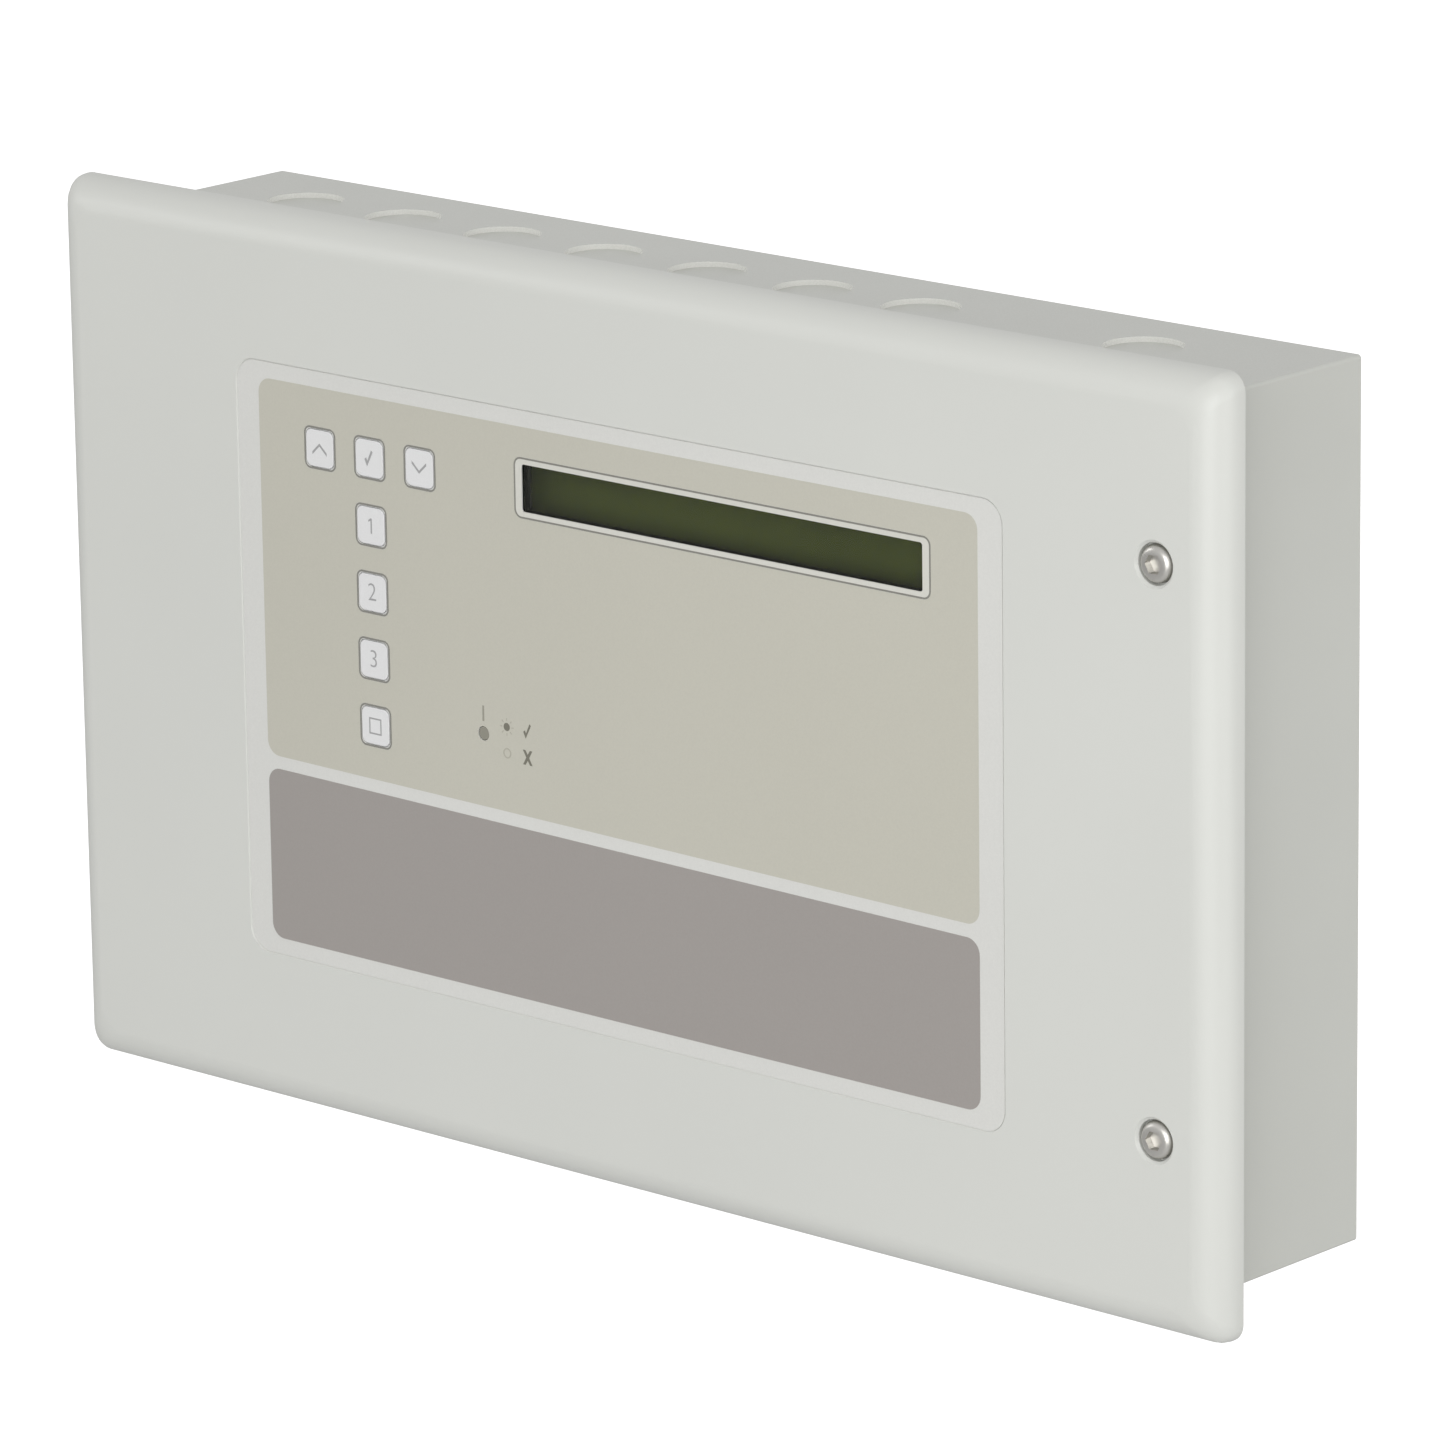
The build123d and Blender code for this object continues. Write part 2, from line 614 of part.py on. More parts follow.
# ---------------------------------------------------------------- display
def make_display_frame():
    """Pressed metal frame that holds the display glass down on its board."""
    with BuildPart() as frame:
        with BuildSketch(at_height(DISPLAY_PCB_FRONT)):
            with Locations((WINDOW_X, WINDOW_Z)):
                RectangleRounded(DISPLAY_FRAME_W, DISPLAY_FRAME_H, FRAME_CORNER_R)
        extrude(amount=DISPLAY_FRAME_T)
        with BuildSketch(at_height(DISPLAY_PCB_FRONT)):
            with Locations((WINDOW_X, WINDOW_Z)):
                Rectangle(DISPLAY_FRAME_W - 2 * FRAME_WALL, DISPLAY_FRAME_H - 2 * FRAME_WALL)
        extrude(amount=DISPLAY_FRAME_T - FRAME_WALL, mode=Mode.SUBTRACT)
        with BuildSketch(at_height(DISPLAY_PCB_FRONT)):
            with Locations((WINDOW_X, WINDOW_Z)):
                Rectangle(WINDOW_W + 2 * FRAME_SIGHT, WINDOW_H + 2 * FRAME_SIGHT)
        extrude(amount=DISPLAY_FRAME_T, mode=Mode.SUBTRACT)
    save(frame.part, "display_frame")


def make_display_slab(name, width, height, back, thickness):
    """A flat slab of the display stack, centred on the window."""
    with BuildPart() as slab:
        with BuildSketch(at_height(back)):
            with Locations((WINDOW_X, WINDOW_Z)):
                Rectangle(width, height)
        extrude(amount=thickness)
    save(slab.part, name)


def make_display_stack():
    """Display board, backlight and glass, one behind the other inside the frame."""
    inside_w = DISPLAY_FRAME_W - 2 * (FRAME_WALL + FIT)
    inside_h = DISPLAY_FRAME_H - 2 * (FRAME_WALL + FIT)
    backlight_t = DISPLAY_FRAME_T - FRAME_WALL - GLASS_T - 2 * SEAT
    make_display_slab(
        "display_module_board", DISPLAY_PCB_W, DISPLAY_PCB_H, DISPLAY_PCB_BACK, BOARD_T
    )
    make_display_slab(
        "display_backlight", inside_w, inside_h, DISPLAY_PCB_FRONT, backlight_t
    )
    make_display_slab(
        "display_glass",
        inside_w,
        inside_h,
        DISPLAY_PCB_FRONT + backlight_t + SEAT,
        GLASS_T,
    )


def make_display_board():
    """Circuit board behind the lid face."""
    with BuildPart() as board:
        with BuildSketch(at_height(BOARD_BACK)):
            with Locations((FASCIA_X, FASCIA_Z)):
                RectangleRounded(BOARD_W, BOARD_H, BOARD_CORNER_R)
            with Locations(*BOARD_POSTS):
                Circle(SMALL_SCREW_R + SCREW_HOLE_GAP, mode=Mode.SUBTRACT)
        extrude(amount=BOARD_T)
    save(board.part, "display_board")


def make_small_screws(name, spots, head_side, shank_end, head_up):
    """Pan-head screws: heads on a board, shanks into their posts."""
    head_start = head_side if head_up else head_side - SMALL_HEAD_T
    shank_start = min(head_side, shank_end)
    slot_start = head_side + SMALL_HEAD_T - CROSS_DEPTH if head_up else head_side - SMALL_HEAD_T
    with BuildPart() as screws:
        with BuildSketch(at_height(head_start)):
            with Locations(*spots):
                Circle(SMALL_HEAD_R)
        extrude(amount=SMALL_HEAD_T)
        with BuildSketch(at_height(shank_start)):
            with Locations(*spots):
                Circle(SMALL_SCREW_R)
        extrude(amount=abs(head_side - shank_end))
        with BuildSketch(at_height(slot_start)):
            with Locations(*spots):
                Rectangle(CROSS_LENGTH, CROSS_WIDTH)
                Rectangle(CROSS_WIDTH, CROSS_LENGTH)
        extrude(amount=CROSS_DEPTH, mode=Mode.SUBTRACT)
    save(screws.part, name)


def make_processor(name, x, z, width, base, thickness):
    """Square processor package standing on a board, its corners cut."""
    with BuildPart() as package:
        with BuildSketch(at_height(min(base, base + thickness))):
            with Locations((x, z)):
                Rectangle(width, width)
        extrude(amount=abs(thickness))
        chamfer(package.edges().filter_by(Axis.Y), CHIP_CORNER)
    save(package.part, name)


def make_header(name, x, z, base, thickness):
    """Shrouded pin header for a flat cable, standing on a board."""
    length = 33.0
    width = 9.0
    wall = 1.2
    floor = 2.0
    pin_short = 1.0
    columns = 10
    rows = 2
    outward = thickness > 0
    low = min(base, base + thickness)
    cavity_low = low + (floor if outward else 0)
    pins_low = low + (floor if outward else pin_short)
    with BuildPart() as header:
        with BuildSketch(at_height(low)):
            with Locations((x, z)):
                Rectangle(length, width)
        extrude(amount=abs(thickness))
        with BuildSketch(at_height(cavity_low)):
            with Locations((x, z)):
                Rectangle(length - 2 * wall, width - 2 * wall)
        extrude(amount=abs(thickness) - floor, mode=Mode.SUBTRACT)
        with BuildSketch(at_height(pins_low)):
            with Locations((x, z)):
                with GridLocations(PIN_PITCH, PIN_PITCH, columns, rows):
                    Rectangle(PIN_SIZE, PIN_SIZE)
        extrude(amount=abs(thickness) - floor - pin_short)
    save(header.part, name)


def make_sounder():
    """Round sounder on the back of the display board, with its sound hole."""
    spot = (FASCIA_X + 60, FASCIA_Z - 38)
    height = 7.5
    outer_r = 6.0
    hole_r = 1.0
    hole_depth = 2.0
    with BuildPart() as sounder:
        with BuildSketch(at_height(BOARD_BACK - height)):
            with Locations(spot):
                Circle(outer_r)
        extrude(amount=height)
        with BuildSketch(at_height(BOARD_BACK - height)):
            with Locations(spot):
                Circle(hole_r)
        extrude(amount=hole_depth, mode=Mode.SUBTRACT)
    save(sounder.part, "sounder")


# ---------------------------------------------------------------- lid screws
def make_lid_screw(name, spot):
    """Button-head socket screw."""
    with BuildPart() as screw:
        with BuildSketch(at_height(HEAD_SEAT)):
            with Locations(spot):
                Circle(SCREW_HEAD_R)
        extrude(amount=SCREW_HEAD_T)
        fillet(screw.faces().sort_by(Axis.Y)[0].edges(), SCREW_HEAD_T - SCREW_DOME_EDGE)
        with BuildSketch(at_height(SCREW_TIP)):
            with Locations(spot):
                Circle(SCREW_R)
        extrude(amount=SCREW_LENGTH)
        chamfer(screw.faces().sort_by(Axis.Y)[-1].edges(), SCREW_POINT)
        with BuildSketch(at_height(HEAD_SEAT + SOCKET_FLOOR)):
            with Locations(spot):
                RegularPolygon(SCREW_KEY_AF / 2, 6, major_radius=False)
        extrude(amount=SCREW_HEAD_T, mode=Mode.SUBTRACT)
    save(screw.part, name)


def make_retainer(name, spot):
    """Plastic washer that keeps a lid screw captive and travels with it."""
    with BuildPart() as retainer:
        with BuildSketch(at_height(RETAINER_BACK)):
            with Locations(spot):
                Circle(RETAINER_R)
                Circle(SCREW_R + RUNNING, mode=Mode.SUBTRACT)
        extrude(amount=RETAINER_T)
    save(retainer.part, name)


# ---------------------------------------------------------------- main board
def make_pillars():
    """Hexagonal pillars between the back wall and the main board."""
    with BuildPart() as pillars:
        with BuildSketch(at_height(FLOOR)):
            with Locations(*PILLAR_SPOTS):
                RegularPolygon(PILLAR_AF / 2, 6, major_radius=False)
        extrude(amount=PILLAR_LENGTH)
        with BuildSketch(at_height(FLOOR + PILLAR_BASE)):
            with Locations(*PILLAR_SPOTS):
                Circle(SMALL_SCREW_R + SMALL_FIT)
        extrude(amount=PILLAR_LENGTH - PILLAR_BASE, mode=Mode.SUBTRACT)
    save(pillars.part, "board_pillars")


def make_main_board():
    """Main circuit board in the box."""
    with BuildPart() as board:
        with BuildSketch(at_height(MAIN_BACK)):
            with Locations((MAIN_X, MAIN_Z)):
                RectangleRounded(MAIN_W, MAIN_H, BOARD_CORNER_R)
            with Locations(*PILLAR_SPOTS):
                Circle(SMALL_SCREW_R + SCREW_HOLE_GAP, mode=Mode.SUBTRACT)
        extrude(amount=BOARD_T)
    save(board.part, "main_board")


def make_field_terminals():
    """Two screw terminal strips along the top of the main board."""
    length = TERMINAL_WAYS * TERMINAL_PITCH
    edge_gap = 2.0
    strip_shift = MAIN_W / 4 + 2
    screw_r = 1.9
    screw_depth = 2.0
    row_z = MAIN_Z + MAIN_H / 2 - TERMINAL_D / 2 - edge_gap
    centres = [(MAIN_X + side * strip_shift, row_z) for side in (-1, 1)]
    with BuildPart() as terminals:
        with BuildSketch(at_height(MAIN_FRONT)):
            with Locations(*centres):
                Rectangle(length, TERMINAL_D)
        extrude(amount=TERMINAL_T)
        with BuildSketch(at_height(MAIN_FRONT + TERMINAL_T - screw_depth)):
            with Locations(*centres):
                with GridLocations(TERMINAL_PITCH, 1, TERMINAL_WAYS, 1):
                    Circle(screw_r)
        extrude(amount=screw_depth, mode=Mode.SUBTRACT)
    save(terminals.part, "field_terminals")


def make_capacitors():
    """Smoothing capacitors standing on the main board."""
    large_x = MAIN_X + 78
    small_x = MAIN_X + 58
    sizes = [
        ([(large_x, MAIN_Z - 30), (large_x, MAIN_Z - 8)], 9.0, 28.0),
        ([(small_x, MAIN_Z - 34), (small_x, MAIN_Z - 20), (small_x, MAIN_Z - 6)], 5.0, 16.0),
    ]
    rolled_edge = 0.8
    with BuildPart() as capacitors:
        for spots, radius, length in sizes:
            with BuildSketch(at_height(MAIN_FRONT)):
                with Locations(*spots):
                    Circle(radius)
            extrude(amount=length)
        fillet(capacitors.faces().filter_by(Axis.Y).edges().group_by(Axis.Y)[0], rolled_edge)
    save(capacitors.part, "capacitors")


def make_relays():
    """Two sealed relays on the main board."""
    row_z = MAIN_Z + 26
    case_w = 12.7
    case_h = 29.0
    case_t = 16.0
    case_edge = 0.8
    with BuildPart() as relays:
        with BuildSketch(at_height(MAIN_FRONT)):
            with Locations((MAIN_X - 60, row_z), (MAIN_X - 40, row_z)):
                Rectangle(case_w, case_h)
        extrude(amount=case_t)
        chamfer(relays.edges().filter_by(Axis.Y), case_edge)
    save(relays.part, "relays")


def make_heat_sink():
    """Finned aluminium heat sink on the main board."""
    sink_x = MAIN_X + 30
    web_z = MAIN_Z - 38
    web_w = 36.0
    web_t = 3.0
    fins = 7
    fin_pitch = 5.7
    fin_t = 1.4
    fin_length = 14.0
    fin_overlap = 1.0
    height = 25.0
    fin_z = web_z + web_t / 2 + fin_length / 2 - fin_overlap
    with BuildPart() as sink:
        with BuildSketch(at_height(MAIN_FRONT)):
            with Locations((sink_x, web_z)):
                Rectangle(web_w, web_t)
            with Locations((sink_x, fin_z)):
                with GridLocations(fin_pitch, 1, fins, 1):
                    Rectangle(fin_t, fin_length)
        extrude(amount=height)
    save(sink.part, "heat_sink")


# ---------------------------------------------------------------- power parts
def make_battery():
    """Sealed lead-acid battery standing on the bottom of the box."""
    cap = 7.0
    cap_step = 1.0
    cap_ease = 0.8
    middle = (BATTERY_X, -BATTERY_BACK - BATTERY_D / 2)
    with BuildPart() as battery:
        with BuildSketch(Plane.XY.offset(BATTERY_BOTTOM)):
            with Locations(middle):
                RectangleRounded(BATTERY_W, BATTERY_D, BATTERY_CORNER_R)
        extrude(amount=BATTERY_H - cap)
        with BuildSketch(Plane.XY.offset(BATTERY_TOP - cap)):
            with Locations(middle):
                RectangleRounded(BATTERY_W - cap_step, BATTERY_D - cap_step, BATTERY_CORNER_R)
        extrude(amount=cap)
        fillet(battery.faces().sort_by(Axis.Z)[-1].edges(), cap_ease)
    save(battery.part, "battery")


def make_battery_tabs():
    """Flat push-on tabs at the two ends of the battery."""
    tab_w = 4.8
    tab_t = 0.8
    tab_length = 7.0
    spots = [
        (BATTERY_X + side * (BATTERY_W / 2 - BATTERY_TAB_INSET), -BATTERY_BACK - BATTERY_D / 2)
        for side in (-1, 1)
    ]
    with BuildPart() as tabs:
        with BuildSketch(Plane.XY.offset(BATTERY_TOP)):
            with Locations(*spots):
                Rectangle(tab_t, tab_w)
        extrude(amount=tab_length)
    save(tabs.part, "battery_tabs")


def make_battery_clamp():
    """Folded clamp from the back wall over the top and front of the battery."""
    foot_top = CLAMP_SHELF + SHEET + CLAMP_FOOT
    lip_back = BATTERY_FRONT + FIT
    with BuildPart() as clamp:
        with BuildSketch(at_height(FLOOR)):
            with Locations((BATTERY_X, (CLAMP_SHELF + foot_top) / 2)):
                Rectangle(CLAMP_W, foot_top - CLAMP_SHELF)
            with Locations(*CLAMP_STUDS):
                Circle(STUD_R + STUD_FIT, mode=Mode.SUBTRACT)
        extrude(amount=SHEET)
        with BuildSketch(at_height(FLOOR)):
            with Locations((BATTERY_X, CLAMP_SHELF + SHEET / 2)):
                Rectangle(CLAMP_W, SHEET)
        extrude(amount=lip_back + SHEET - FLOOR)
        with BuildSketch(at_height(lip_back)):
            with Locations((BATTERY_X, CLAMP_SHELF + SHEET - (SHEET + CLAMP_LIP) / 2)):
                Rectangle(CLAMP_W, SHEET + CLAMP_LIP)
        extrude(amount=SHEET)
    save(clamp.part, "battery_clamp")


def make_transformer():
    """Laminated core with its coil on the middle limb."""
    window_w = (CORE_W - 4 * CORE_LIMB) / 2
    window_h = CORE_H - 2 * CORE_LIMB
    window_x = CORE_LIMB + window_w / 2
    windows = [(CORE_X - window_x, CORE_Z), (CORE_X + window_x, CORE_Z)]
    with BuildPart() as core:
        with BuildSketch(at_height(CORE_BACK)):
            with Locations((CORE_X, CORE_Z)):
                Rectangle(CORE_W, CORE_H)
            with Locations(*windows):
                Rectangle(window_w, window_h, mode=Mode.SUBTRACT)
        extrude(amount=CORE_T)
    save(core.part, "transformer_core")
    with BuildPart() as coil:
        with BuildSketch(at_height(CORE_BACK - COIL_STANDOUT)):
            with Locations((CORE_X, CORE_Z)):
                Rectangle(2 * (CORE_LIMB + window_w - FIT), window_h - 2 * FIT)
        extrude(amount=CORE_T + 2 * COIL_STANDOUT)
        with BuildSketch(at_height(CORE_BACK - FIT)):
            with Locations((CORE_X, CORE_Z)):
                Rectangle(2 * (CORE_LIMB + FIT), window_h)
        extrude(amount=CORE_T + 2 * FIT, mode=Mode.SUBTRACT)
    save(coil.part, "transformer_coil")


def make_transformer_strap():
    """Steel strap over the core, with a foot bolted down on each side."""
    inner = CORE_W + 2 * FIT
    outer = inner + 2 * SHEET
    band = 14.0
    top = CORE_FRONT + COIL_STANDOUT + FIT
    lap = 0.1
    with BuildPart() as strap:
        for side in (-1, 1):
            with BuildSketch(at_height(FLOOR)):
                with Locations((CORE_X + side * (inner / 2 + SHEET / 2), CORE_Z)):
                    Rectangle(SHEET, band)
            extrude(amount=top + SHEET - FLOOR)
            with BuildSketch(at_height(FLOOR)):
                with Locations((CORE_X + side * (outer / 2 + FOOT_REACH / 2 - lap), CORE_Z)):
                    Rectangle(FOOT_REACH + 2 * lap, band)
            extrude(amount=SHEET)
        with BuildSketch(at_height(top)):
            with Locations((CORE_X, CORE_Z)):
                Rectangle(outer, band)
        extrude(amount=SHEET)
        with BuildSketch(at_height(FLOOR)):
            with Locations(*STRAP_STUDS):
                Circle(STUD_R + STUD_FIT)
        extrude(amount=SHEET, mode=Mode.SUBTRACT)
    save(strap.part, "transformer_strap")


def make_core_supports():
    """Insulating rails that lift the transformer core off the back wall."""
    end_step = 2.0
    side_step = 1.0
    with BuildPart() as supports:
        for side in (-1, 1):
            with BuildSketch(at_height(FLOOR)):
                with Locations((CORE_X, CORE_Z + side * (CORE_H / 2 - CORE_LIMB / 2))):
                    Rectangle(CORE_W - 2 * end_step, CORE_LIMB - 2 * side_step)
            extrude(amount=CORE_LIFT)
    save(supports.part, "transformer_rails")


def make_studs():
    """Studs welded to the back wall for the clamp, the strap and the earth tag."""
    with BuildPart() as studs:
        with BuildSketch(at_height(FLOOR)):
            with Locations(*STUD_SPOTS):
                Circle(STUD_R)
        extrude(amount=STUD_LENGTH)
    save(studs.part, "wall_studs")


def make_nuts():
    """Hexagon nuts on the studs."""
    with BuildPart() as nuts:
        with BuildSketch(at_height(FLOOR + SHEET)):
            with Locations(*STUD_SPOTS):
                RegularPolygon(NUT_AF / 2, 6, major_radius=False)
            with Locations(*STUD_SPOTS):
                Circle(STUD_R + SMALL_FIT, mode=Mode.SUBTRACT)
        extrude(amount=NUT_T)
    save(nuts.part, "stud_nuts")


def make_earth_tag():
    """Earth tag under the nut of the earth stud."""
    ring_r = 5.0
    tab_w = 6.3
    tab_length = 12.0
    tab_middle = 8.0
    with BuildPart() as tag:
        with BuildSketch(at_height(FLOOR)):
            with Locations((EARTH_X, EARTH_Z)):
                Circle(ring_r)
            with Locations((EARTH_X, EARTH_Z + tab_middle)):
                Rectangle(tab_w, tab_length)
            with Locations((EARTH_X, EARTH_Z)):
                Circle(STUD_R + STUD_FIT, mode=Mode.SUBTRACT)
        extrude(amount=SHEET)
    save(tag.part, "earth_tag")


def make_mains_terminals():
    """Three-way mains terminal block on the back wall."""
    ways = 3
    screw_r = 2.4
    screw_depth = 4.0
    groove_w = 1.2
    groove_depth = 3.0
    with BuildPart() as block:
        with BuildSketch(at_height(FLOOR)):
            with Locations((MAINS_X, MAINS_Z)):
                Rectangle(MAINS_W, MAINS_H)
        extrude(amount=MAINS_T)
        with BuildSketch(at_height(FLOOR + MAINS_T - screw_depth)):
            with Locations((MAINS_X, MAINS_Z)):
                with GridLocations(MAINS_W / ways, MAINS_H / 2, ways, 2):
                    Circle(screw_r)
        extrude(amount=screw_depth, mode=Mode.SUBTRACT)
        with BuildSketch(at_height(FLOOR + MAINS_T - groove_depth)):
            with Locations((MAINS_X, MAINS_Z)):
                with GridLocations(MAINS_W / ways, 1, ways - 1, 1):
                    Rectangle(groove_w, MAINS_H)
        extrude(amount=groove_depth, mode=Mode.SUBTRACT)
    save(block.part, "mains_terminals")


def make_fuse():
    """Chassis fuse block with its cylindrical fuse."""
    base_w = 13.0
    base_t = 5.0
    clip_w = 9.0
    clip_length = 4.0
    clip_height = 9.0
    clip_spread = FUSE_LENGTH - 10
    fuse_r = 2.6
    fuse_height = FLOOR + base_t + 5
    end_gap = 1.0
    with BuildPart() as block:
        with BuildSketch(at_height(FLOOR)):
            with Locations((FUSE_X, MAINS_Z)):
                Rectangle(base_w, FUSE_LENGTH)
        extrude(amount=base_t)
        with BuildSketch(at_height(FLOOR + base_t)):
            with Locations((FUSE_X, MAINS_Z)):
                with GridLocations(1, clip_spread, 1, 2):
                    Rectangle(clip_w, clip_length)
        extrude(amount=clip_height)
        with BuildSketch(Plane.XY.offset(MAINS_Z - FUSE_LENGTH / 2)):
            with Locations((FUSE_X, -fuse_height)):
                Circle(fuse_r + SMALL_FIT)
        extrude(amount=FUSE_LENGTH, mode=Mode.SUBTRACT)
    save(block.part, "fuse_block")
    with BuildPart() as fuse:
        with BuildSketch(Plane.XY.offset(MAINS_Z - FUSE_LENGTH / 2 + end_gap)):
            with Locations((FUSE_X, -fuse_height)):
                Circle(fuse_r)
        extrude(amount=FUSE_LENGTH - 2 * end_gap)
    save(fuse.part, "mains_fuse")


def make_all():
    """Make every piece, the box first and then what the lid carries."""
    make_back_box()
    make_screw_inserts()
    make_hinge_leaves()
    make_hinge_pins()
    make_lid()
    make_fascia()
    make_window()
    make_display_gasket()
    for name, spot in zip(KEY_NAMES, KEY_SPOTS):
        make_key(name, spot)
    make_key_switches()
    make_light_pipe()
    make_status_lamp()
    make_display_frame()
    make_display_stack()
    make_display_board()
    make_small_screws(
        "display_board_screws", BOARD_POSTS, BOARD_BACK, BOARD_FRONT + SCREW_GRIP, head_up=False
    )
    make_processor(
        "display_processor", FASCIA_X + 30, FASCIA_Z, DISPLAY_CHIP_W, BOARD_BACK, -DISPLAY_CHIP_T
    )
    make_header("display_header", FASCIA_X - 60, FASCIA_Z - 40, BOARD_BACK, -HEADER_T)
    make_sounder()
    for number, spot in enumerate(SCREW_SPOTS, start=1):
        make_lid_screw(f"lid_screw_{number}", spot)
        make_retainer(f"screw_retainer_{number}", spot)
    make_pillars()
    make_main_board()
    make_small_screws(
        "main_board_screws", PILLAR_SPOTS, MAIN_FRONT, MAIN_BACK - SCREW_GRIP, head_up=True
    )
    make_field_terminals()
    make_capacitors()
    make_relays()
    make_heat_sink()
    make_processor("main_processor", MAIN_X - 10, MAIN_Z - 10, MAIN_CHIP_W, MAIN_FRONT, MAIN_CHIP_T)
    make_header("main_header", MAIN_X - 60, MAIN_Z - 30, MAIN_FRONT, HEADER_T)
    make_battery()
    make_battery_tabs()
    make_battery_clamp()
    make_transformer()
    make_transformer_strap()
    make_core_supports()
    make_studs()
    make_nuts()
    make_earth_tag()
    make_mains_terminals()
    make_fuse()


make_all()
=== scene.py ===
"""Finishes, printed label, fittings, light and camera for the wall alarm panel."""

import json
import logging
import math
import random
from dataclasses import dataclass, field
from enum import Enum
from typing import ClassVar, Iterable, Optional, Sequence

import bmesh
import bpy
from mathutils import Matrix, Vector


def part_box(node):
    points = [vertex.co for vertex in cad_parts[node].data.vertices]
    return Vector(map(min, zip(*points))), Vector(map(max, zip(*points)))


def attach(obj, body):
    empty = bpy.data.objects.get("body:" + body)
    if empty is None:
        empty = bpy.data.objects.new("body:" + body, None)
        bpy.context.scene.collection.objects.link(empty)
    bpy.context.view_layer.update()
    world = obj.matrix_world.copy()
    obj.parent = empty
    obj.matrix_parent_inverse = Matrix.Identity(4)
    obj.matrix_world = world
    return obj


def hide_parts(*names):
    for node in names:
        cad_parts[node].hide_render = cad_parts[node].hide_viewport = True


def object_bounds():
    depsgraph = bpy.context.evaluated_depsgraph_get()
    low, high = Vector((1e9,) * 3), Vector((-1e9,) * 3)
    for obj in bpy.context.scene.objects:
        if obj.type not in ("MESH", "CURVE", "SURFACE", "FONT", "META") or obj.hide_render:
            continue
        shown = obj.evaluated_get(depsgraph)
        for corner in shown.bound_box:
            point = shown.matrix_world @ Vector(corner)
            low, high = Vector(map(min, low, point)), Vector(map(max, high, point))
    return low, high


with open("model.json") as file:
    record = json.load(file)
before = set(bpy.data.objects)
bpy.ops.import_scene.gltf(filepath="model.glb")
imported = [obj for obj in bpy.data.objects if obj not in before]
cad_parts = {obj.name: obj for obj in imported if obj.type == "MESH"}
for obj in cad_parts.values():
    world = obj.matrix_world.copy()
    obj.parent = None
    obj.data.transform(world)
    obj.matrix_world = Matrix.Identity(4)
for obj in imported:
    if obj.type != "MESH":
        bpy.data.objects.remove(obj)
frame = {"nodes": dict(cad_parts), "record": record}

LOG = logging.getLogger("panel")
MM = 0.001
TINY = 0.001 * MM
MERGE = 0.002 * MM
INK = 0.03 * MM
FLAT_ANGLE = 0.6
TURN_STEPS = 48
CORNER_STEPS = 8
CAD_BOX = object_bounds()
KEY_NODES = ("key_up", "key_down", "key_accept", "key_1", "key_2", "key_3", "key_enter")
Colour = tuple[float, float, float]
Spot = tuple[float, float]
Socket = bpy.types.NodeSocket
Shape = bmesh.types.BMesh


def tint(red: float, green: float, blue: float) -> Colour:
    """A display colour, 0 to 255 a channel, as the linear colour shaders use.

    Args:
        red, green, blue: The channels, each 0 to 255.

    Returns:
        The linear colour.
    """

    def linear(value: float) -> float:
        """One channel, by the standard display curve."""
        share = value / 255
        return share / 12.92 if share <= 0.04045 else ((share + 0.055) / 1.055) ** 2.4

    return (linear(red), linear(green), linear(blue))


def shade(colour: Colour, factor: float) -> Colour:
    """A colour made darker or lighter by a factor."""
    return tuple(min(1.0, channel * factor) for channel in colour)


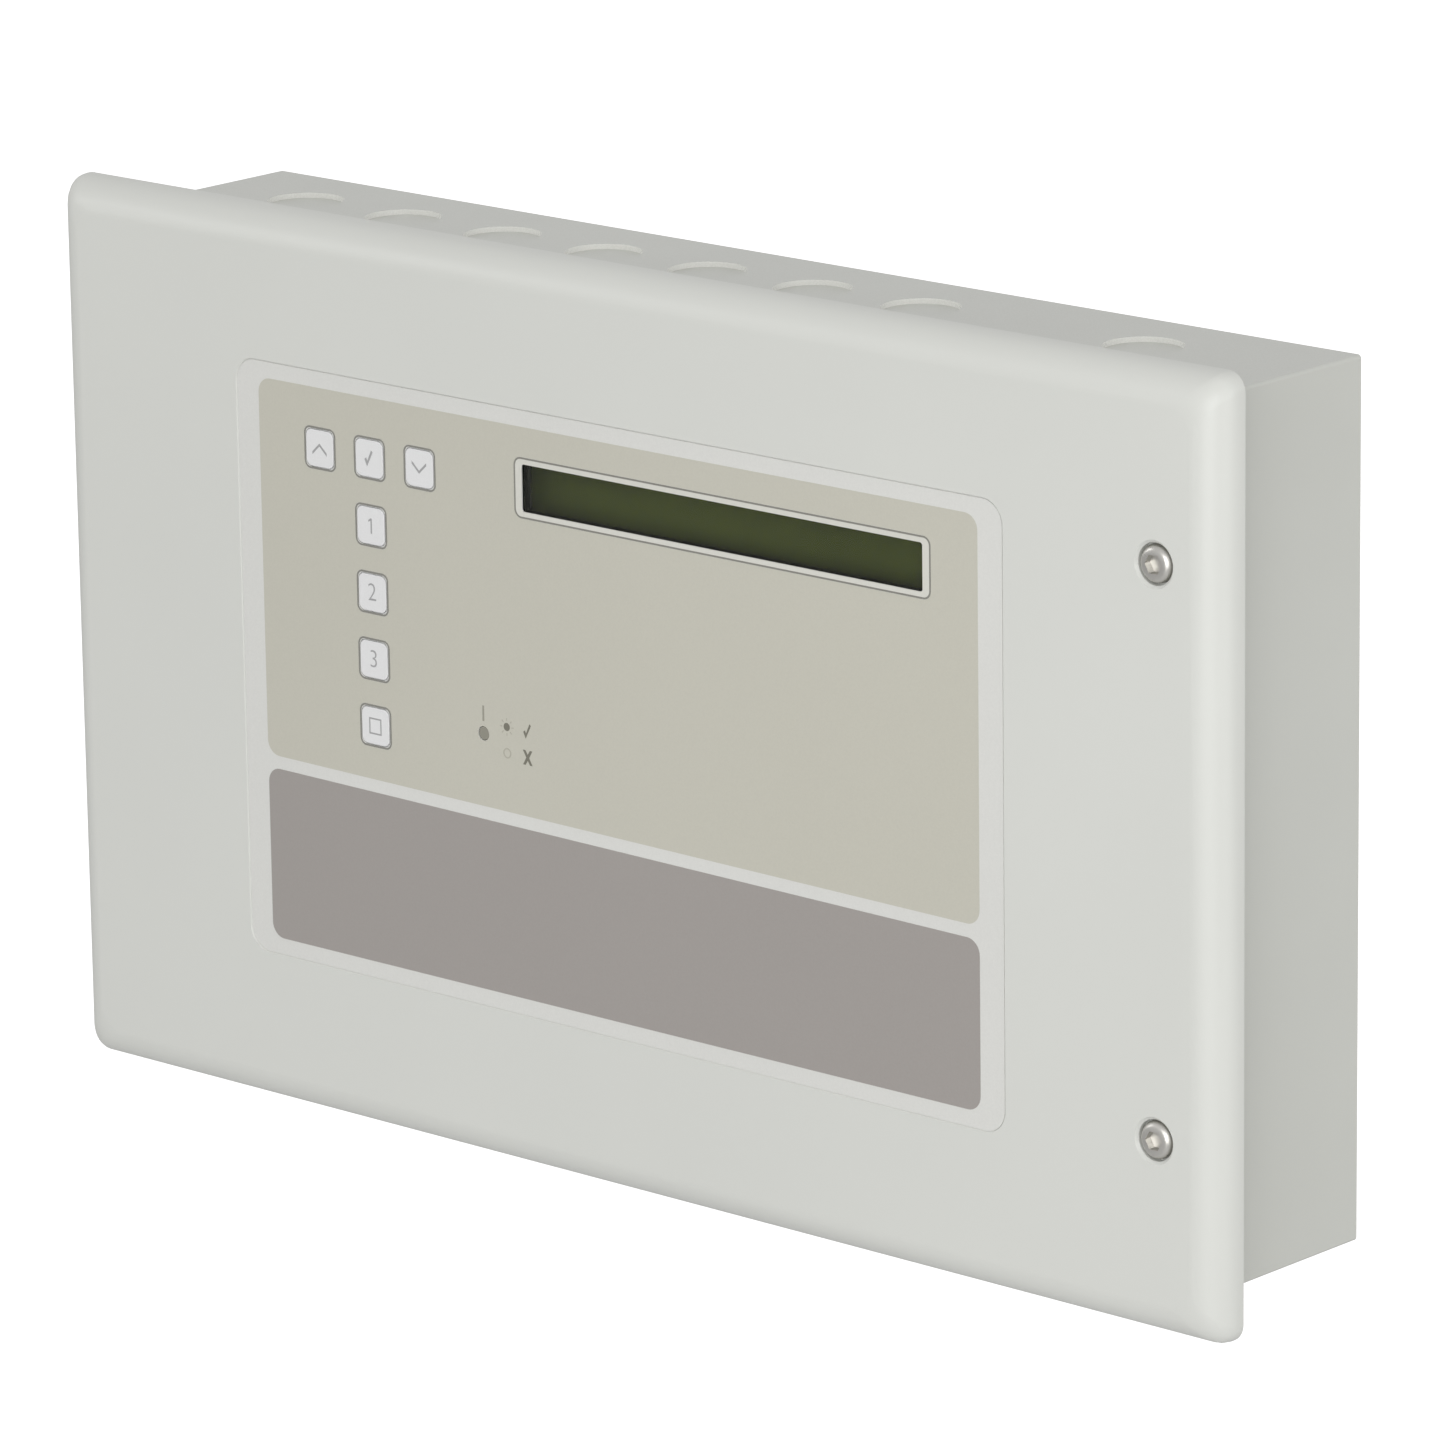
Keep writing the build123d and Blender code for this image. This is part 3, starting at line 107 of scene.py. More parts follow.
# ------------------------------------------------------------------ materials
class Graph:
    """One material's node tree, with short calls for the nodes used here."""

    def __init__(self, name: str) -> None:
        """Starts a material that holds one Principled shader.

        Args:
            name: The material's name.
        """
        self.material = bpy.data.materials.new(name)
        self.material.use_nodes = True
        self.tree = self.material.node_tree
        self.shader = self.tree.nodes["Principled BSDF"]
        self.place = self.tree.nodes.new("ShaderNodeTexCoord").outputs["Object"]

    def put(self, value: object, target: Socket) -> None:
        """Feeds an input from another socket, or sets it.

        Args:
            value: A socket or a plain value.
            target: The input.
        """
        if isinstance(value, Socket):
            self.tree.links.new(value, target)
        else:
            target.default_value = value

    def fill(self, node: bpy.types.Node, **inputs: object) -> None:
        """Feeds or sets a node's inputs, named with _ for each space."""
        for name, value in inputs.items():
            self.put(value, node.inputs[name.replace("_", " ")])

    def look(self, **inputs: object) -> None:
        """Feeds or sets the shader's inputs, named with _ for each space."""
        self.fill(self.shader, **inputs)

    def node(self, kind: str, settings: Optional[dict[str, object]] = None,
             **inputs: object) -> bpy.types.Node:
        """Adds a node.

        Args:
            kind: The node's type.
            settings: Its properties.
            **inputs: Its inputs, fed or set, named with _ for each space.

        Returns:
            The new node.
        """
        made = self.tree.nodes.new(kind)
        for name, value in (settings or {}).items():
            setattr(made, name, value)
        self.fill(made, **inputs)
        return made

    def stretch(self, scale: Sequence[float], turn: Sequence[float] = (0, 0, 0),
                shift: Sequence[float] = (0, 0, 0)) -> Socket:
        """Object coordinates scaled, turned and moved.

        Args:
            scale: The factor along each axis.
            turn: The angle about each axis, in degrees.
            shift: The distance along each axis.

        Returns:
            The socket with the coordinates.
        """
        angles = [math.radians(angle) for angle in turn]
        mapping = self.node("ShaderNodeMapping", Vector=self.place, Scale=scale, Rotation=angles,
                            Location=shift)
        return mapping.outputs["Vector"]

    def noise(self, per_metre: float, detail: float = 2.0, place: Optional[Socket] = None) -> Socket:
        """Noise with so many grains to the metre.

        Args:
            per_metre: Grains to the metre.
            detail: How many finer layers it has.
            place: Coordinates to use instead of the object's own.

        Returns:
            The socket with the noise.
        """
        made = self.node("ShaderNodeTexNoise", Vector=place or self.place, Scale=per_metre,
                         Detail=detail)
        return made.outputs["Fac"]

    def cells(self, per_metre: float) -> Socket:
        """Distance to cell points, with so many cells to the metre."""
        made = self.node("ShaderNodeTexVoronoi", Vector=self.place, Scale=per_metre)
        return made.outputs["Distance"]

    def bricks(self, width: float, height: float, gap: float, shift: float = 0.0,
               **settings: object) -> bpy.types.Node:
        """A brick pattern drawn on the face that looks to the front.

        Args:
            width: A brick's width, in metres.
            height: Its height.
            gap: The gap between bricks.
            shift: How far the pattern is moved both ways.
            **settings: The node's properties.

        Returns:
            The pattern's node.
        """
        place = self.stretch((1, 1, 1), (90, 0, 0), (shift, shift, 0))
        return self.node("ShaderNodeTexBrick", settings, Vector=place, Scale=1.0,
                         Brick_Width=width, Row_Height=height, Mortar_Size=gap)

    def span(self, source: Socket, low: float, high: float, start: float = 0.0,
             end: float = 1.0) -> Socket:
        """Maps start..end of a value onto low..high, and holds it there.

        Args:
            source: The value.
            low, high: The range it is mapped onto.
            start, end: The range it is mapped from.

        Returns:
            The socket with the new value.
        """
        made = self.node("ShaderNodeMapRange", {"clamp": True}, Value=source, From_Min=start,
                         From_Max=end, To_Min=low, To_Max=high)
        return made.outputs["Result"]

    def maths(self, operation: str, first: Socket, second: "Socket | float") -> Socket:
        """One arithmetic step on a value.

        Args:
            operation: The step's name.
            first: The value.
            second: Another value, or a number.

        Returns:
            The socket with the result.
        """
        made = self.node("ShaderNodeMath", {"operation": operation})
        self.put(first, made.inputs[0])
        self.put(second, made.inputs[1])
        return made.outputs[0]

    def blend(self, share: Socket, first: "Colour | Socket", second: "Colour | Socket") -> Socket:
        """Mixes two colours by a share.

        Args:
            share: The second colour's share.
            first, second: The colours, fixed or from a socket.

        Returns:
            The socket with the mix.
        """
        made = self.node("ShaderNodeMix", {"data_type": "RGBA"}, Factor=share)
        for colour, target in ((first, made.inputs[6]), (second, made.inputs[7])):
            self.put((*colour, 1.0) if isinstance(colour, tuple) else colour, target)
        return made.outputs[2]

    def bump(self, height: Socket, depth: float, strength: float = 1.0) -> None:
        """Adds relief on top of any relief already there.

        Args:
            height: The relief, 0 to 1.
            depth: Its depth, in metres.
            strength: How much of it shows.
        """
        made = self.node("ShaderNodeBump", Height=height, Distance=depth, Strength=strength)
        normal = self.shader.inputs["Normal"]
        if normal.is_linked:
            self.put(normal.links[0].from_socket, made.inputs["Normal"])
        self.put(made.outputs["Normal"], normal)


@dataclass(frozen=True)
class Finish:
    """A finish with its colour, its gloss and the slot of the record it belongs to.

    Each kind of finish says how far its gloss strays, as (shinier, duller), and which part of
    a noise's range does it. The middle of a noise's range is the part that changes the colour.
    """

    name: str
    slot: str
    colour: Colour
    gloss: float = 0.5
    middle: ClassVar[Spot] = (0.3, 0.7)
    gloss_stray: ClassVar[Spot] = (0.0, 0.0)
    gloss_span: ClassVar[Spot] = (0.0, 1.0)

    def material(self) -> bpy.types.Material:
        """The finish's material, made once.

        Returns:
            The material.
        """
        known = bpy.data.materials.get(self.name)
        if known is not None:
            return known
        graph = Graph(self.name)
        graph.look(Roughness=self.gloss)
        self.paint(graph)
        return graph.material

    def paint(self, graph: Graph) -> None:
        """Fills in the nodes, which each kind of finish does its own way."""
        raise NotImplementedError(type(self).__name__)

    def tones(self, darker: float, lighter: float) -> tuple[Colour, Colour]:
        """The colour made darker and lighter by two factors."""
        return shade(self.colour, darker), shade(self.colour, lighter)

    def mottle(self, graph: Graph, per_metre: float, amount: float) -> Socket:
        """Varies the colour softly.

        Args:
            graph: The material's node tree.
            per_metre: Patches to the metre.
            amount: How far the tone strays, as a share.

        Returns:
            The socket with the patches, for reuse in the gloss.
        """
        level = graph.span(graph.noise(per_metre, 3.0), 0.0, 1.0, *self.middle)
        graph.look(Base_Color=graph.blend(level, *self.tones(1 - amount, 1 + amount)))
        return level

    def sheen(self, graph: Graph, source: Socket) -> None:
        """Lets the gloss stray as a value rises.

        Args:
            graph: The material's node tree.
            source: The value.
        """
        shinier, duller = self.gloss_stray
        low, high = self.gloss - shinier, self.gloss + duller
        graph.look(Roughness=graph.span(source, low, high, *self.gloss_span))


@dataclass(frozen=True)
class Moulding(Finish):
    """Moulded plastic: a fine spark-eroded grain and slightly uneven gloss."""

    grain: float = 1600.0
    depth: float = 0.000012
    stray: float = 0.012
    patches_per_metre: ClassVar[float] = 9.0
    waves_per_metre: ClassVar[float] = 26.0
    wave_depth: ClassVar[float] = 0.00008
    wave_strength: ClassVar[float] = 0.35
    gloss_stray: ClassVar[Spot] = (0.05, 0.07)
    gloss_span: ClassVar[Spot] = (0.2, 1.6)

    def paint(self, graph: Graph) -> None:
        """Adds the grain, slow tone changes and the gloss they bring.

        Args:
            graph: The material's node tree.
        """
        level = self.mottle(graph, self.patches_per_metre, self.stray)
        fine = graph.noise(self.grain)
        graph.bump(fine, self.depth)
        graph.bump(graph.noise(self.waves_per_metre, 1.0), self.wave_depth, self.wave_strength)
        self.sheen(graph, graph.maths("ADD", level, fine))


@dataclass(frozen=True)
class PowderCoat(Finish):
    """Powder-coated steel: an orange-peel skin over sheet that is not quite flat."""

    patches_per_metre: ClassVar[float] = 14.0
    stray: ClassVar[float] = 0.02
    peel_per_metre: ClassVar[float] = 900.0
    peel_depth: ClassVar[float] = 0.00002
    peel_strength: ClassVar[float] = 0.8
    waves_per_metre: ClassVar[float] = 11.0
    wave_depth: ClassVar[float] = 0.0003
    wave_strength: ClassVar[float] = 0.3
    specks_per_metre: ClassVar[float] = 2600.0
    gloss_stray: ClassVar[Spot] = (-0.08, -0.05)
    gloss_span: ClassVar[Spot] = (0.1, 0.6)

    def paint(self, graph: Graph) -> None:
        """Adds the peel, the sheet's slow waves and a faint speckle.

        Args:
            graph: The material's node tree.
        """
        self.mottle(graph, self.patches_per_metre, self.stray)
        graph.bump(graph.noise(self.peel_per_metre, 1.0), self.peel_depth, self.peel_strength)
        graph.bump(graph.noise(self.waves_per_metre, 1.0), self.wave_depth, self.wave_strength)
        self.sheen(graph, graph.cells(self.specks_per_metre))


@dataclass(frozen=True)
class Print(Finish):
    """Screen-printed film: satin skin, fine even speckle, a little ink mottle."""

    patches_per_metre: ClassVar[float] = 7.0
    ink_tones: ClassVar[Spot] = (0.975, 1.025)
    ink_span: ClassVar[Spot] = (0.35, 0.65)
    specks_per_metre: ClassVar[float] = 2200.0
    speck_depth: ClassVar[float] = 0.000006
    speck_strength: ClassVar[float] = 0.8
    gloss_stray: ClassVar[Spot] = (0.05, 0.06)
    gloss_span: ClassVar[Spot] = (0.3, 0.7)

    def paint(self, graph: Graph) -> None:
        """Adds the speckle of the film's texture and its slight waviness.

        Args:
            graph: The material's node tree.
        """
        patches = graph.noise(self.patches_per_metre)
        fine = graph.noise(self.specks_per_metre, 1.0)
        level = graph.maths("MULTIPLY", graph.maths("ADD", patches, fine), 0.5)
        share = graph.span(level, 0.0, 1.0, *self.ink_span)
        graph.look(Base_Color=graph.blend(share, *self.tones(*self.ink_tones)))
        graph.bump(fine, self.speck_depth, self.speck_strength)
        self.sheen(graph, fine)


class Lay(Enum):
    """Which way the fine scratches of a metal run, as scratches to the metre along each axis."""

    ALONG_Z = (2600.0, 2600.0, 60.0)
    TURNED = (1300.0, 90.0, 1300.0)
    NONE = (900.0, 900.0, 900.0)


@dataclass(frozen=True)
class Metal(Finish):
    """Bare or plated metal with a lay of fine scratches and clouded patches."""

    lay: Lay = Lay.NONE
    cloud: float = 0.1
    clouds_per_metre: ClassVar[float] = 70.0
    scratch_depth: ClassVar[float] = 0.000005
    scratch_strength: ClassVar[float] = 0.7
    gloss_stray: ClassVar[Spot] = (0.1, 0.14)
    gloss_span: ClassVar[Spot] = (0.3, 1.6)

    def paint(self, graph: Graph) -> None:
        """Adds the scratches, the clouding and the gloss they leave.

        Args:
            graph: The material's node tree.
        """
        graph.look(Metallic=1.0)
        level = self.mottle(graph, self.clouds_per_metre, self.cloud)
        scratch = graph.noise(1.0, 2.0, graph.stretch(self.lay.value))
        graph.bump(scratch, self.scratch_depth, self.scratch_strength)
        self.sheen(graph, graph.maths("ADD", level, scratch))


@dataclass(frozen=True)
class SolderMask(Finish):
    """Circuit board: green mask over copper runs, with tinned vias through it."""

    copper: ClassVar[Colour] = (0.018, 0.15, 0.055)
    via: ClassVar[Colour] = tint(176, 172, 150)
    run_gap: ClassVar[float] = 0.2 * MM
    run_depth: ClassVar[float] = 0.03 * MM
    run_strength: ClassVar[float] = 0.6
    level_rows: ClassVar[tuple[float, float, float]] = (150.0, 420.0, 0.0)
    upright_rows: ClassVar[tuple[float, float, float]] = (430.0, 130.0, 0.37)
    row_offset: ClassVar[float] = 0.37
    row_squash: ClassVar[float] = 0.6
    run_blur: ClassVar[float] = 0.1
    patches_per_metre: ClassVar[float] = 45.0
    patch_span: ClassVar[Spot] = (0.44, 0.5)
    vias_per_metre: ClassVar[float] = 130.0
    via_span: ClassVar[Spot] = (0.05, 0.07)
    sheen_per_metre: ClassVar[float] = 300.0
    gloss_stray: ClassVar[Spot] = (0.08, 0.1)

    def paint(self, graph: Graph) -> None:
        """Draws copper runs under the mask, upright in some patches and level in the rest.

        Args:
            graph: The material's node tree.
        """
        level = self.runs(graph, *self.level_rows)
        upright = self.runs(graph, *self.upright_rows)
        patches = graph.span(graph.noise(self.patches_per_metre, 1.0), 0.0, 1.0, *self.patch_span)
        rest = graph.maths("MULTIPLY", upright, graph.maths("SUBTRACT", patches, 1.0))
        runs = graph.maths("MAXIMUM", graph.maths("MULTIPLY", level, patches),
                           graph.maths("ABSOLUTE", rest, 0.0))
        masked = graph.blend(runs, self.colour, self.copper)
        holes = graph.span(graph.cells(self.vias_per_metre), 1.0, 0.0, *self.via_span)
        graph.look(Base_Color=graph.blend(holes, masked, self.via))
        graph.bump(runs, self.run_depth, self.run_strength)
        self.sheen(graph, graph.noise(self.sheen_per_metre))

    def runs(self, graph: Graph, across: float, up: float, shift: float) -> Socket:
        """A brick pattern's gaps, used as copper runs along one way.

        Args:
            graph: The material's node tree.
            across: Twice the bricks to the metre along a row.
            up: Rows to the metre.
            shift: How far the pattern is moved both ways.

        Returns:
            The socket that is 1 on a run.
        """
        bricks = graph.bricks(2.0 / across, 1.0 / up, self.run_gap, shift,
                              offset=self.row_offset, squash=self.row_squash)
        graph.fill(bricks, Mortar_Smooth=self.run_blur)
        return bricks.outputs["Fac"]


@dataclass(frozen=True)
class Layered(Finish):
    """Stacked laminations or wound tape: fine lines across one axis."""

    scale: Sequence[float] = (0.0, 700.0, 0.0)
    second: Colour = (0.02, 0.02, 0.022)
    metallic: float = 0.0
    line_span: ClassVar[Spot] = (0.42, 0.58)
    line_depth: ClassVar[float] = 0.08 * MM
    line_strength: ClassVar[float] = 0.8
    gloss_stray: ClassVar[Spot] = (0.06, 0.1)

    def paint(self, graph: Graph) -> None:
        """Adds the lines as colour and relief.

        Args:
            graph: The material's node tree.
        """
        graph.look(Metallic=self.metallic)
        lines = graph.noise(1.0, 1.0, graph.stretch(self.scale))
        level = graph.span(lines, 0.0, 1.0, *self.line_span)
        graph.look(Base_Color=graph.blend(level, self.second, self.colour))
        graph.bump(lines, self.line_depth, self.line_strength)
        self.sheen(graph, lines)


@dataclass(frozen=True)
class Clear(Finish):
    """Clear plastic that light passes through."""

    index: ClassVar[float] = 1.3
    shine: ClassVar[float] = 0.2
    patches_per_metre: ClassVar[float] = 30.0
    stray: ClassVar[float] = 0.01
    hairs_per_metre: ClassVar[tuple[float, float, float]] = (40.0, 900.0, 1800.0)
    hair_turn: ClassVar[tuple[float, float, float]] = (0, 20, 0)
    gloss_stray: ClassVar[Spot] = (0.0, 0.04)
    gloss_span: ClassVar[Spot] = (0.55, 0.75)

    def paint(self, graph: Graph) -> None:
        """Lets light through, with a few hairline scratches in the gloss.

        Args:
            graph: The material's node tree.
        """
        graph.look(Transmission_Weight=1.0, IOR=self.index, Specular_IOR_Level=self.shine)
        self.mottle(graph, self.patches_per_metre, self.stray)
        hair = graph.noise(1.0, 2.0, graph.stretch(self.hairs_per_metre, self.hair_turn))
        self.sheen(graph, hair)


@dataclass(frozen=True)
class DisplayGlass(Finish):
    """Unlit liquid-crystal glass: dark olive with a faint grid of character cells, and a painted shadow
    along its left and bottom edges.
    """

    cell_w: ClassVar[float] = 3.2 * MM
    cell_h: ClassVar[float] = 5.12 * MM
    cell_gap: ClassVar[float] = 0.256 * MM
    gap_share: ClassVar[float] = 0.08
    gap_tone: ClassVar[float] = 1.4
    # painted shadow: the glass's tone at its left and bottom edges, where the frame's shade falls, and
    # how far in it fades
    shadow_tone: ClassVar[float] = 0.4
    shadow_side_width: ClassVar[float] = 14.0 * MM
    shadow_foot_height: ClassVar[float] = 7.0 * MM
    tones_per_metre: ClassVar[float] = 16.0
    tone_stray: ClassVar[Spot] = (0.88, 1.1)
    shine: ClassVar[float] = 0.12
    gloss_stray: ClassVar[Spot] = (0.04, 0.04)

    def paint(self, graph: Graph) -> None:
        """Adds the faint cells, a slow change of tone, a painted shadow along the left and bottom edges
        and a clean gloss.

        Args:
            graph: The material's node tree.
        """
        cells = graph.bricks(self.cell_w, self.cell_h, self.cell_gap, offset=0.0)
        tone = graph.noise(self.tones_per_metre)
        share = graph.span(tone, 0.0, 1.0, *self.middle)
        base = graph.blend(share, *self.tones(*self.tone_stray))
        gaps = graph.maths("MULTIPLY", cells.outputs["Fac"], self.gap_share)
        # edge is the painted shadow's colour: the glass darkened where the frame's shade falls
        edge, gap = self.tones(self.shadow_tone, self.gap_tone)
        celled = graph.blend(gaps, base, gap)
        graph.look(Base_Color=graph.blend(self.painted_edge_shadow(graph), edge, celled))
        graph.look(Specular_IOR_Level=self.shine)
        self.sheen(graph, tone)

    def painted_edge_shadow(self, graph: Graph) -> Socket:
        """Painted shadow of the window's frame on the glass: rises from 0 at the left and bottom edges
        of the view to 1 further in.

        Args:
            graph: The material's node tree.

        Returns:
            The socket with the share.
        """
        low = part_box("display_window")[0]
        axes = graph.node("ShaderNodeSeparateXYZ", Vector=graph.place).outputs
        side = graph.span(axes["X"], 0.0, 1.0, low[0], low[0] + self.shadow_side_width)
        foot = graph.span(axes["Z"], 0.0, 1.0, low[2], low[2] + self.shadow_foot_height)
        return graph.maths("MULTIPLY", side, foot)


@dataclass(frozen=True)
class Studio(Finish):
    """The pale floor, which also looks lit by itself where it is seen directly."""

    glow: ClassVar[float] = 0.75
    patches_per_metre: ClassVar[float] = 0.6
    stray: ClassVar[float] = 0.01

    def paint(self, graph: Graph) -> None:
        """An even pale tone that looks white but doesn't light the panel from below.

        Args:
            graph: The material's node tree.
        """
        self.mottle(graph, self.patches_per_metre, self.stray)
        seen = graph.node("ShaderNodeLightPath").outputs["Is Camera Ray"]
        graph.look(Emission_Color=(1, 1, 1, 1), Emission_Strength=graph.span(seen, 0.0, self.glow))


LID_PLASTIC = Moulding("lid_plastic_finish", "lid_plastic", tint(207, 208, 203), 0.34)
BOX_PAINT = PowderCoat("box_paint_finish", "box_paint", tint(198, 199, 193), 0.36)
# painted highlight: a lighter copy of the box paint for the lit far walls of the cable entries
BOX_PAINTED_HIGHLIGHT = PowderCoat("box_rim_highlight_finish", "box_paint", tint(236, 236, 231), 0.3)
LABEL_BORDER = Print("label_border_finish", "label_film", tint(210, 210, 206), 0.4)
BEIGE_INK = Print("beige_ink_finish", "label_film", tint(189, 187, 175), 0.42)
GREY_INK = Print("grey_ink_finish", "label_film", tint(154, 149, 145), 0.42)
LINE_INK = Print("line_ink_finish", "label_film", tint(130, 129, 122), 0.42)
LEGEND_INK = Print("legend_ink_finish", "label_film", tint(116, 114, 102), 0.42)
BAR_INK = Print("bar_ink_finish", "label_film", tint(148, 146, 134), 0.42)
FAINT_INK = Print("faint_ink_finish", "label_film", tint(170, 167, 154), 0.42)
BAND_INK = Print("window_band_finish", "label_film", tint(206, 205, 197), 0.4)
KEY_WHITE = Print("key_white_finish", "key_film", tint(220, 220, 220), 0.38)
KEY_INK = Print("key_ink_finish", "key_film", tint(158, 158, 158), 0.4)
WINDOW_CLEAR = Clear("window_finish", "clear_window", (0.93, 0.95, 0.92), 0.02)
LAMP_SMOKE = Moulding("lamp_finish", "lamp_lens", tint(138, 136, 124), 0.22, depth=0.000004)
# this finish also paints shadow along the glass's left and bottom edges
DISPLAY_DARK = DisplayGlass("display_glass_finish", "display_glass_dark", tint(71, 78, 28), 0.3)
# black foam gasket, its colour tinted olive-dark as painted shade of the display recess's walls
FOAM_AND_SHADE_DARK = Moulding("foam_and_shade_finish", "black_plastic", tint(34, 36, 24), 0.85, 2400.0, 0.00006)
STAINLESS = Metal("stainless_finish", "screw_steel", tint(205, 203, 198), 0.3, Lay.TURNED, 0.05)
ZINC = Metal("zinc_finish", "zinc_steel", tint(196, 196, 190), 0.36, Lay.NONE, 0.12)
PIN_STEEL = Metal("pin_steel_finish", "hinge_pin_steel", tint(170, 170, 168), 0.34, Lay.ALONG_Z)
TINNED = Metal("tinned_finish", "zinc_steel", tint(214, 212, 204), 0.3, Lay.NONE, 0.05)
ALUMINIUM = Metal("aluminium_finish", "heat_sink_metal", tint(190, 190, 190), 0.4, Lay.ALONG_Z)
NYLON = Moulding("nylon_finish", "nylon", tint(222, 219, 205), 0.5)
BLACK_CASE = Moulding("black_case_finish", "black_plastic", tint(38, 38, 40), 0.5, 1200.0, 0.00003)
BATTERY_GREY = Moulding("battery_case_finish", "black_plastic", tint(52, 53, 56), 0.5, 700.0, 0.00005)
GREEN_BLOCK = Moulding("terminal_green_finish", "terminal_green", tint(58, 138, 84), 0.45)
SLEEVE_BLUE = Moulding("capacitor_sleeve_finish", "black_plastic", tint(30, 40, 78), 0.3)
BOARD_GREEN = SolderMask("board_green_finish", "circuit_board", tint(20, 84, 46), 0.35)
CORE_LAMINATES = Layered("core_finish", "core_iron", tint(70, 71, 74), 0.4, (3.0, 2600.0, 3.0),
                         tint(30, 30, 32), 0.6)
COIL_TAPE = Layered("coil_tape_finish", "coil_tape", tint(214, 178, 60), 0.3, (2.0, 2.0, 90.0),
                    tint(196, 158, 48))
GOLD = Metal("pin_gold_finish", "zinc_steel", tint(206, 168, 84), 0.25, Lay.NONE, 0.05)
CHIP_TAN = Moulding("chip_capacitor_finish", "black_plastic", tint(150, 118, 84), 0.4)
CAN_TOP = Metal("capacitor_top_finish", "heat_sink_metal", tint(200, 200, 200), 0.3, Lay.NONE, 0.05)
STRIPE_GREY = Moulding("capacitor_stripe_finish", "black_plastic", tint(150, 156, 172), 0.3)
BLANK_LABEL = Print("blank_label_finish", "label_film", tint(176, 178, 176), 0.45)
TERMINAL_RED = Moulding("terminal_red_finish", "black_plastic", tint(150, 36, 30), 0.4)
FUSE_WHITE = Moulding("fuse_finish", "fuse_ceramic", tint(226, 223, 214), 0.25)
FLOOR_PALE = Studio("floor_finish", "", (0.62, 0.62, 0.62), 0.7)


# ------------------------------------------------------------------ meshes
def add_object(name: str, data: bpy.types.ID) -> bpy.types.Object:
    """Adds an object that holds some data to the scene.

    Args:
        name: The object's name.
        data: Its mesh, text, light or camera.

    Returns:
        The new object, at the origin.
    """
    made = bpy.data.objects.new(name, data)
    bpy.context.scene.collection.objects.link(made)
    return made


def mesh_of(name: str, shape: Shape) -> bpy.types.Mesh:
    """Turns a bmesh into a mesh.

    Args:
        name: The mesh's name.
        shape: The bmesh. It is freed here.

    Returns:
        The new mesh.
    """
    mesh = bpy.data.meshes.new(name)
    shape.to_mesh(mesh)
    shape.free()
    return mesh


def finish_piece(name: str, shape: Shape, finish: Finish, body: str,
                 smooth_angle: float = 30.0) -> bpy.types.Object:
    """Turns a bmesh into a piece of the object that rides on a body.

    Args:
        name: The piece's name.
        shape: Its geometry, in metres where it belongs. It is freed here.
        finish: What it is made of.
        body: The body of the frame it moves with.
        smooth_angle: Edges sharper than this, in degrees, stay sharp.

    Returns:
        The new object.
    """
    bmesh.ops.recalc_face_normals(shape, faces=shape.faces)
    shade_by_angle(shape, smooth_angle)
    mesh = mesh_of(name, shape)
    piece = add_object(name, mesh)
    mesh.materials.append(finish.material())
    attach(piece, body)
    LOG.info("piece %s: %d faces on %s", name, len(mesh.polygons), body)
    return piece


def shade_by_angle(shape: Shape, angle: float) -> None:
    """Shades faces smoothly, with sharp edges where they meet at more than an angle.

    Args:
        shape: The bmesh to shade.
        angle: The angle, in degrees.
    """
    for face in shape.faces:
        face.smooth = True
    for edge in shape.edges:
        edge.smooth = edge.calc_face_angle(math.pi) < math.radians(angle)


def body_of_node(node: str) -> str:
    """The body that a CAD node belongs to.

    Args:
        node: The CAD node's name.

    Returns:
        The body's name.
    """
    for body, members in frame["record"]["behaviour"]["bodies"].items():
        if node in members:
            return body
    raise KeyError(node)


def centre_of(node: str) -> Spot:
    """Centre of a CAD node's box, in x and z."""
    low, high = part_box(node)
    return ((low[0] + high[0]) / 2, (low[2] + high[2]) / 2)


def refined(node: str, finish: Finish, ease: float = 0.0, angle: float = 28.0) -> None:
    """Replaces a CAD node by a merged copy with smooth shading and eased edges.

    Args:
        node: The CAD node to copy.
        finish: What it is made of.
        ease: Width of a small live bevel on its sharp edges, in metres, or 0 for none.
        angle: Edges sharper than this, in degrees, stay sharp or are eased.
    """
    shape = bmesh.new()
    shape.from_mesh(frame["nodes"][node].data)
    bmesh.ops.remove_doubles(shape, verts=shape.verts, dist=MERGE)
    bmesh.ops.dissolve_degenerate(shape, edges=shape.edges, dist=MERGE)
    if ease:
        bmesh.ops.dissolve_limit(shape, angle_limit=math.radians(FLAT_ANGLE), verts=shape.verts,
                                 edges=shape.edges)
    piece = finish_piece(f"{node}_skin", shape, finish, body_of_node(node), angle)
    if ease:
        bevel = piece.modifiers.new("eased", "BEVEL")
        bevel.width = ease
        bevel.segments = 2
        bevel.limit_method = "ANGLE"
        bevel.angle_limit = math.radians(angle)
    weights = piece.modifiers.new("weighted", "WEIGHTED_NORMAL")
    weights.keep_sharp = True
    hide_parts(node)


def dress(node: str, finish: Finish) -> None:
    """Gives a CAD node, left as it is, its finish.

    Args:
        node: The CAD node's name.
        finish: What it is made of.
    """
    materials = frame["nodes"][node].data.materials
    materials.clear()
    materials.append(finish.material())
    LOG.info("node %s dressed in %s", node, finish.name)


def moved_verts(made: dict[str, list]) -> list[bmesh.types.BMVert]:
    """The new vertices in what an extrusion made."""
    return [item for item in made["geom"] if isinstance(item, bmesh.types.BMVert)]


def push_out(shape: Shape, faces: list[bmesh.types.BMFace], distance: float) -> None:
    """Extrudes faces towards the front by a distance."""
    made = bmesh.ops.extrude_face_region(shape, geom=faces)
    bmesh.ops.translate(shape, vec=(0, -distance, 0), verts=moved_verts(made))


def round_edges(shape: Shape, edges: list[bmesh.types.BMEdge], width: float, steps: int) -> None:
    """Rounds edges by a width, in so many steps."""
    bmesh.ops.bevel(shape, geom=edges, offset=width, segments=steps, profile=0.5, affect="EDGES",
                    material=-1)


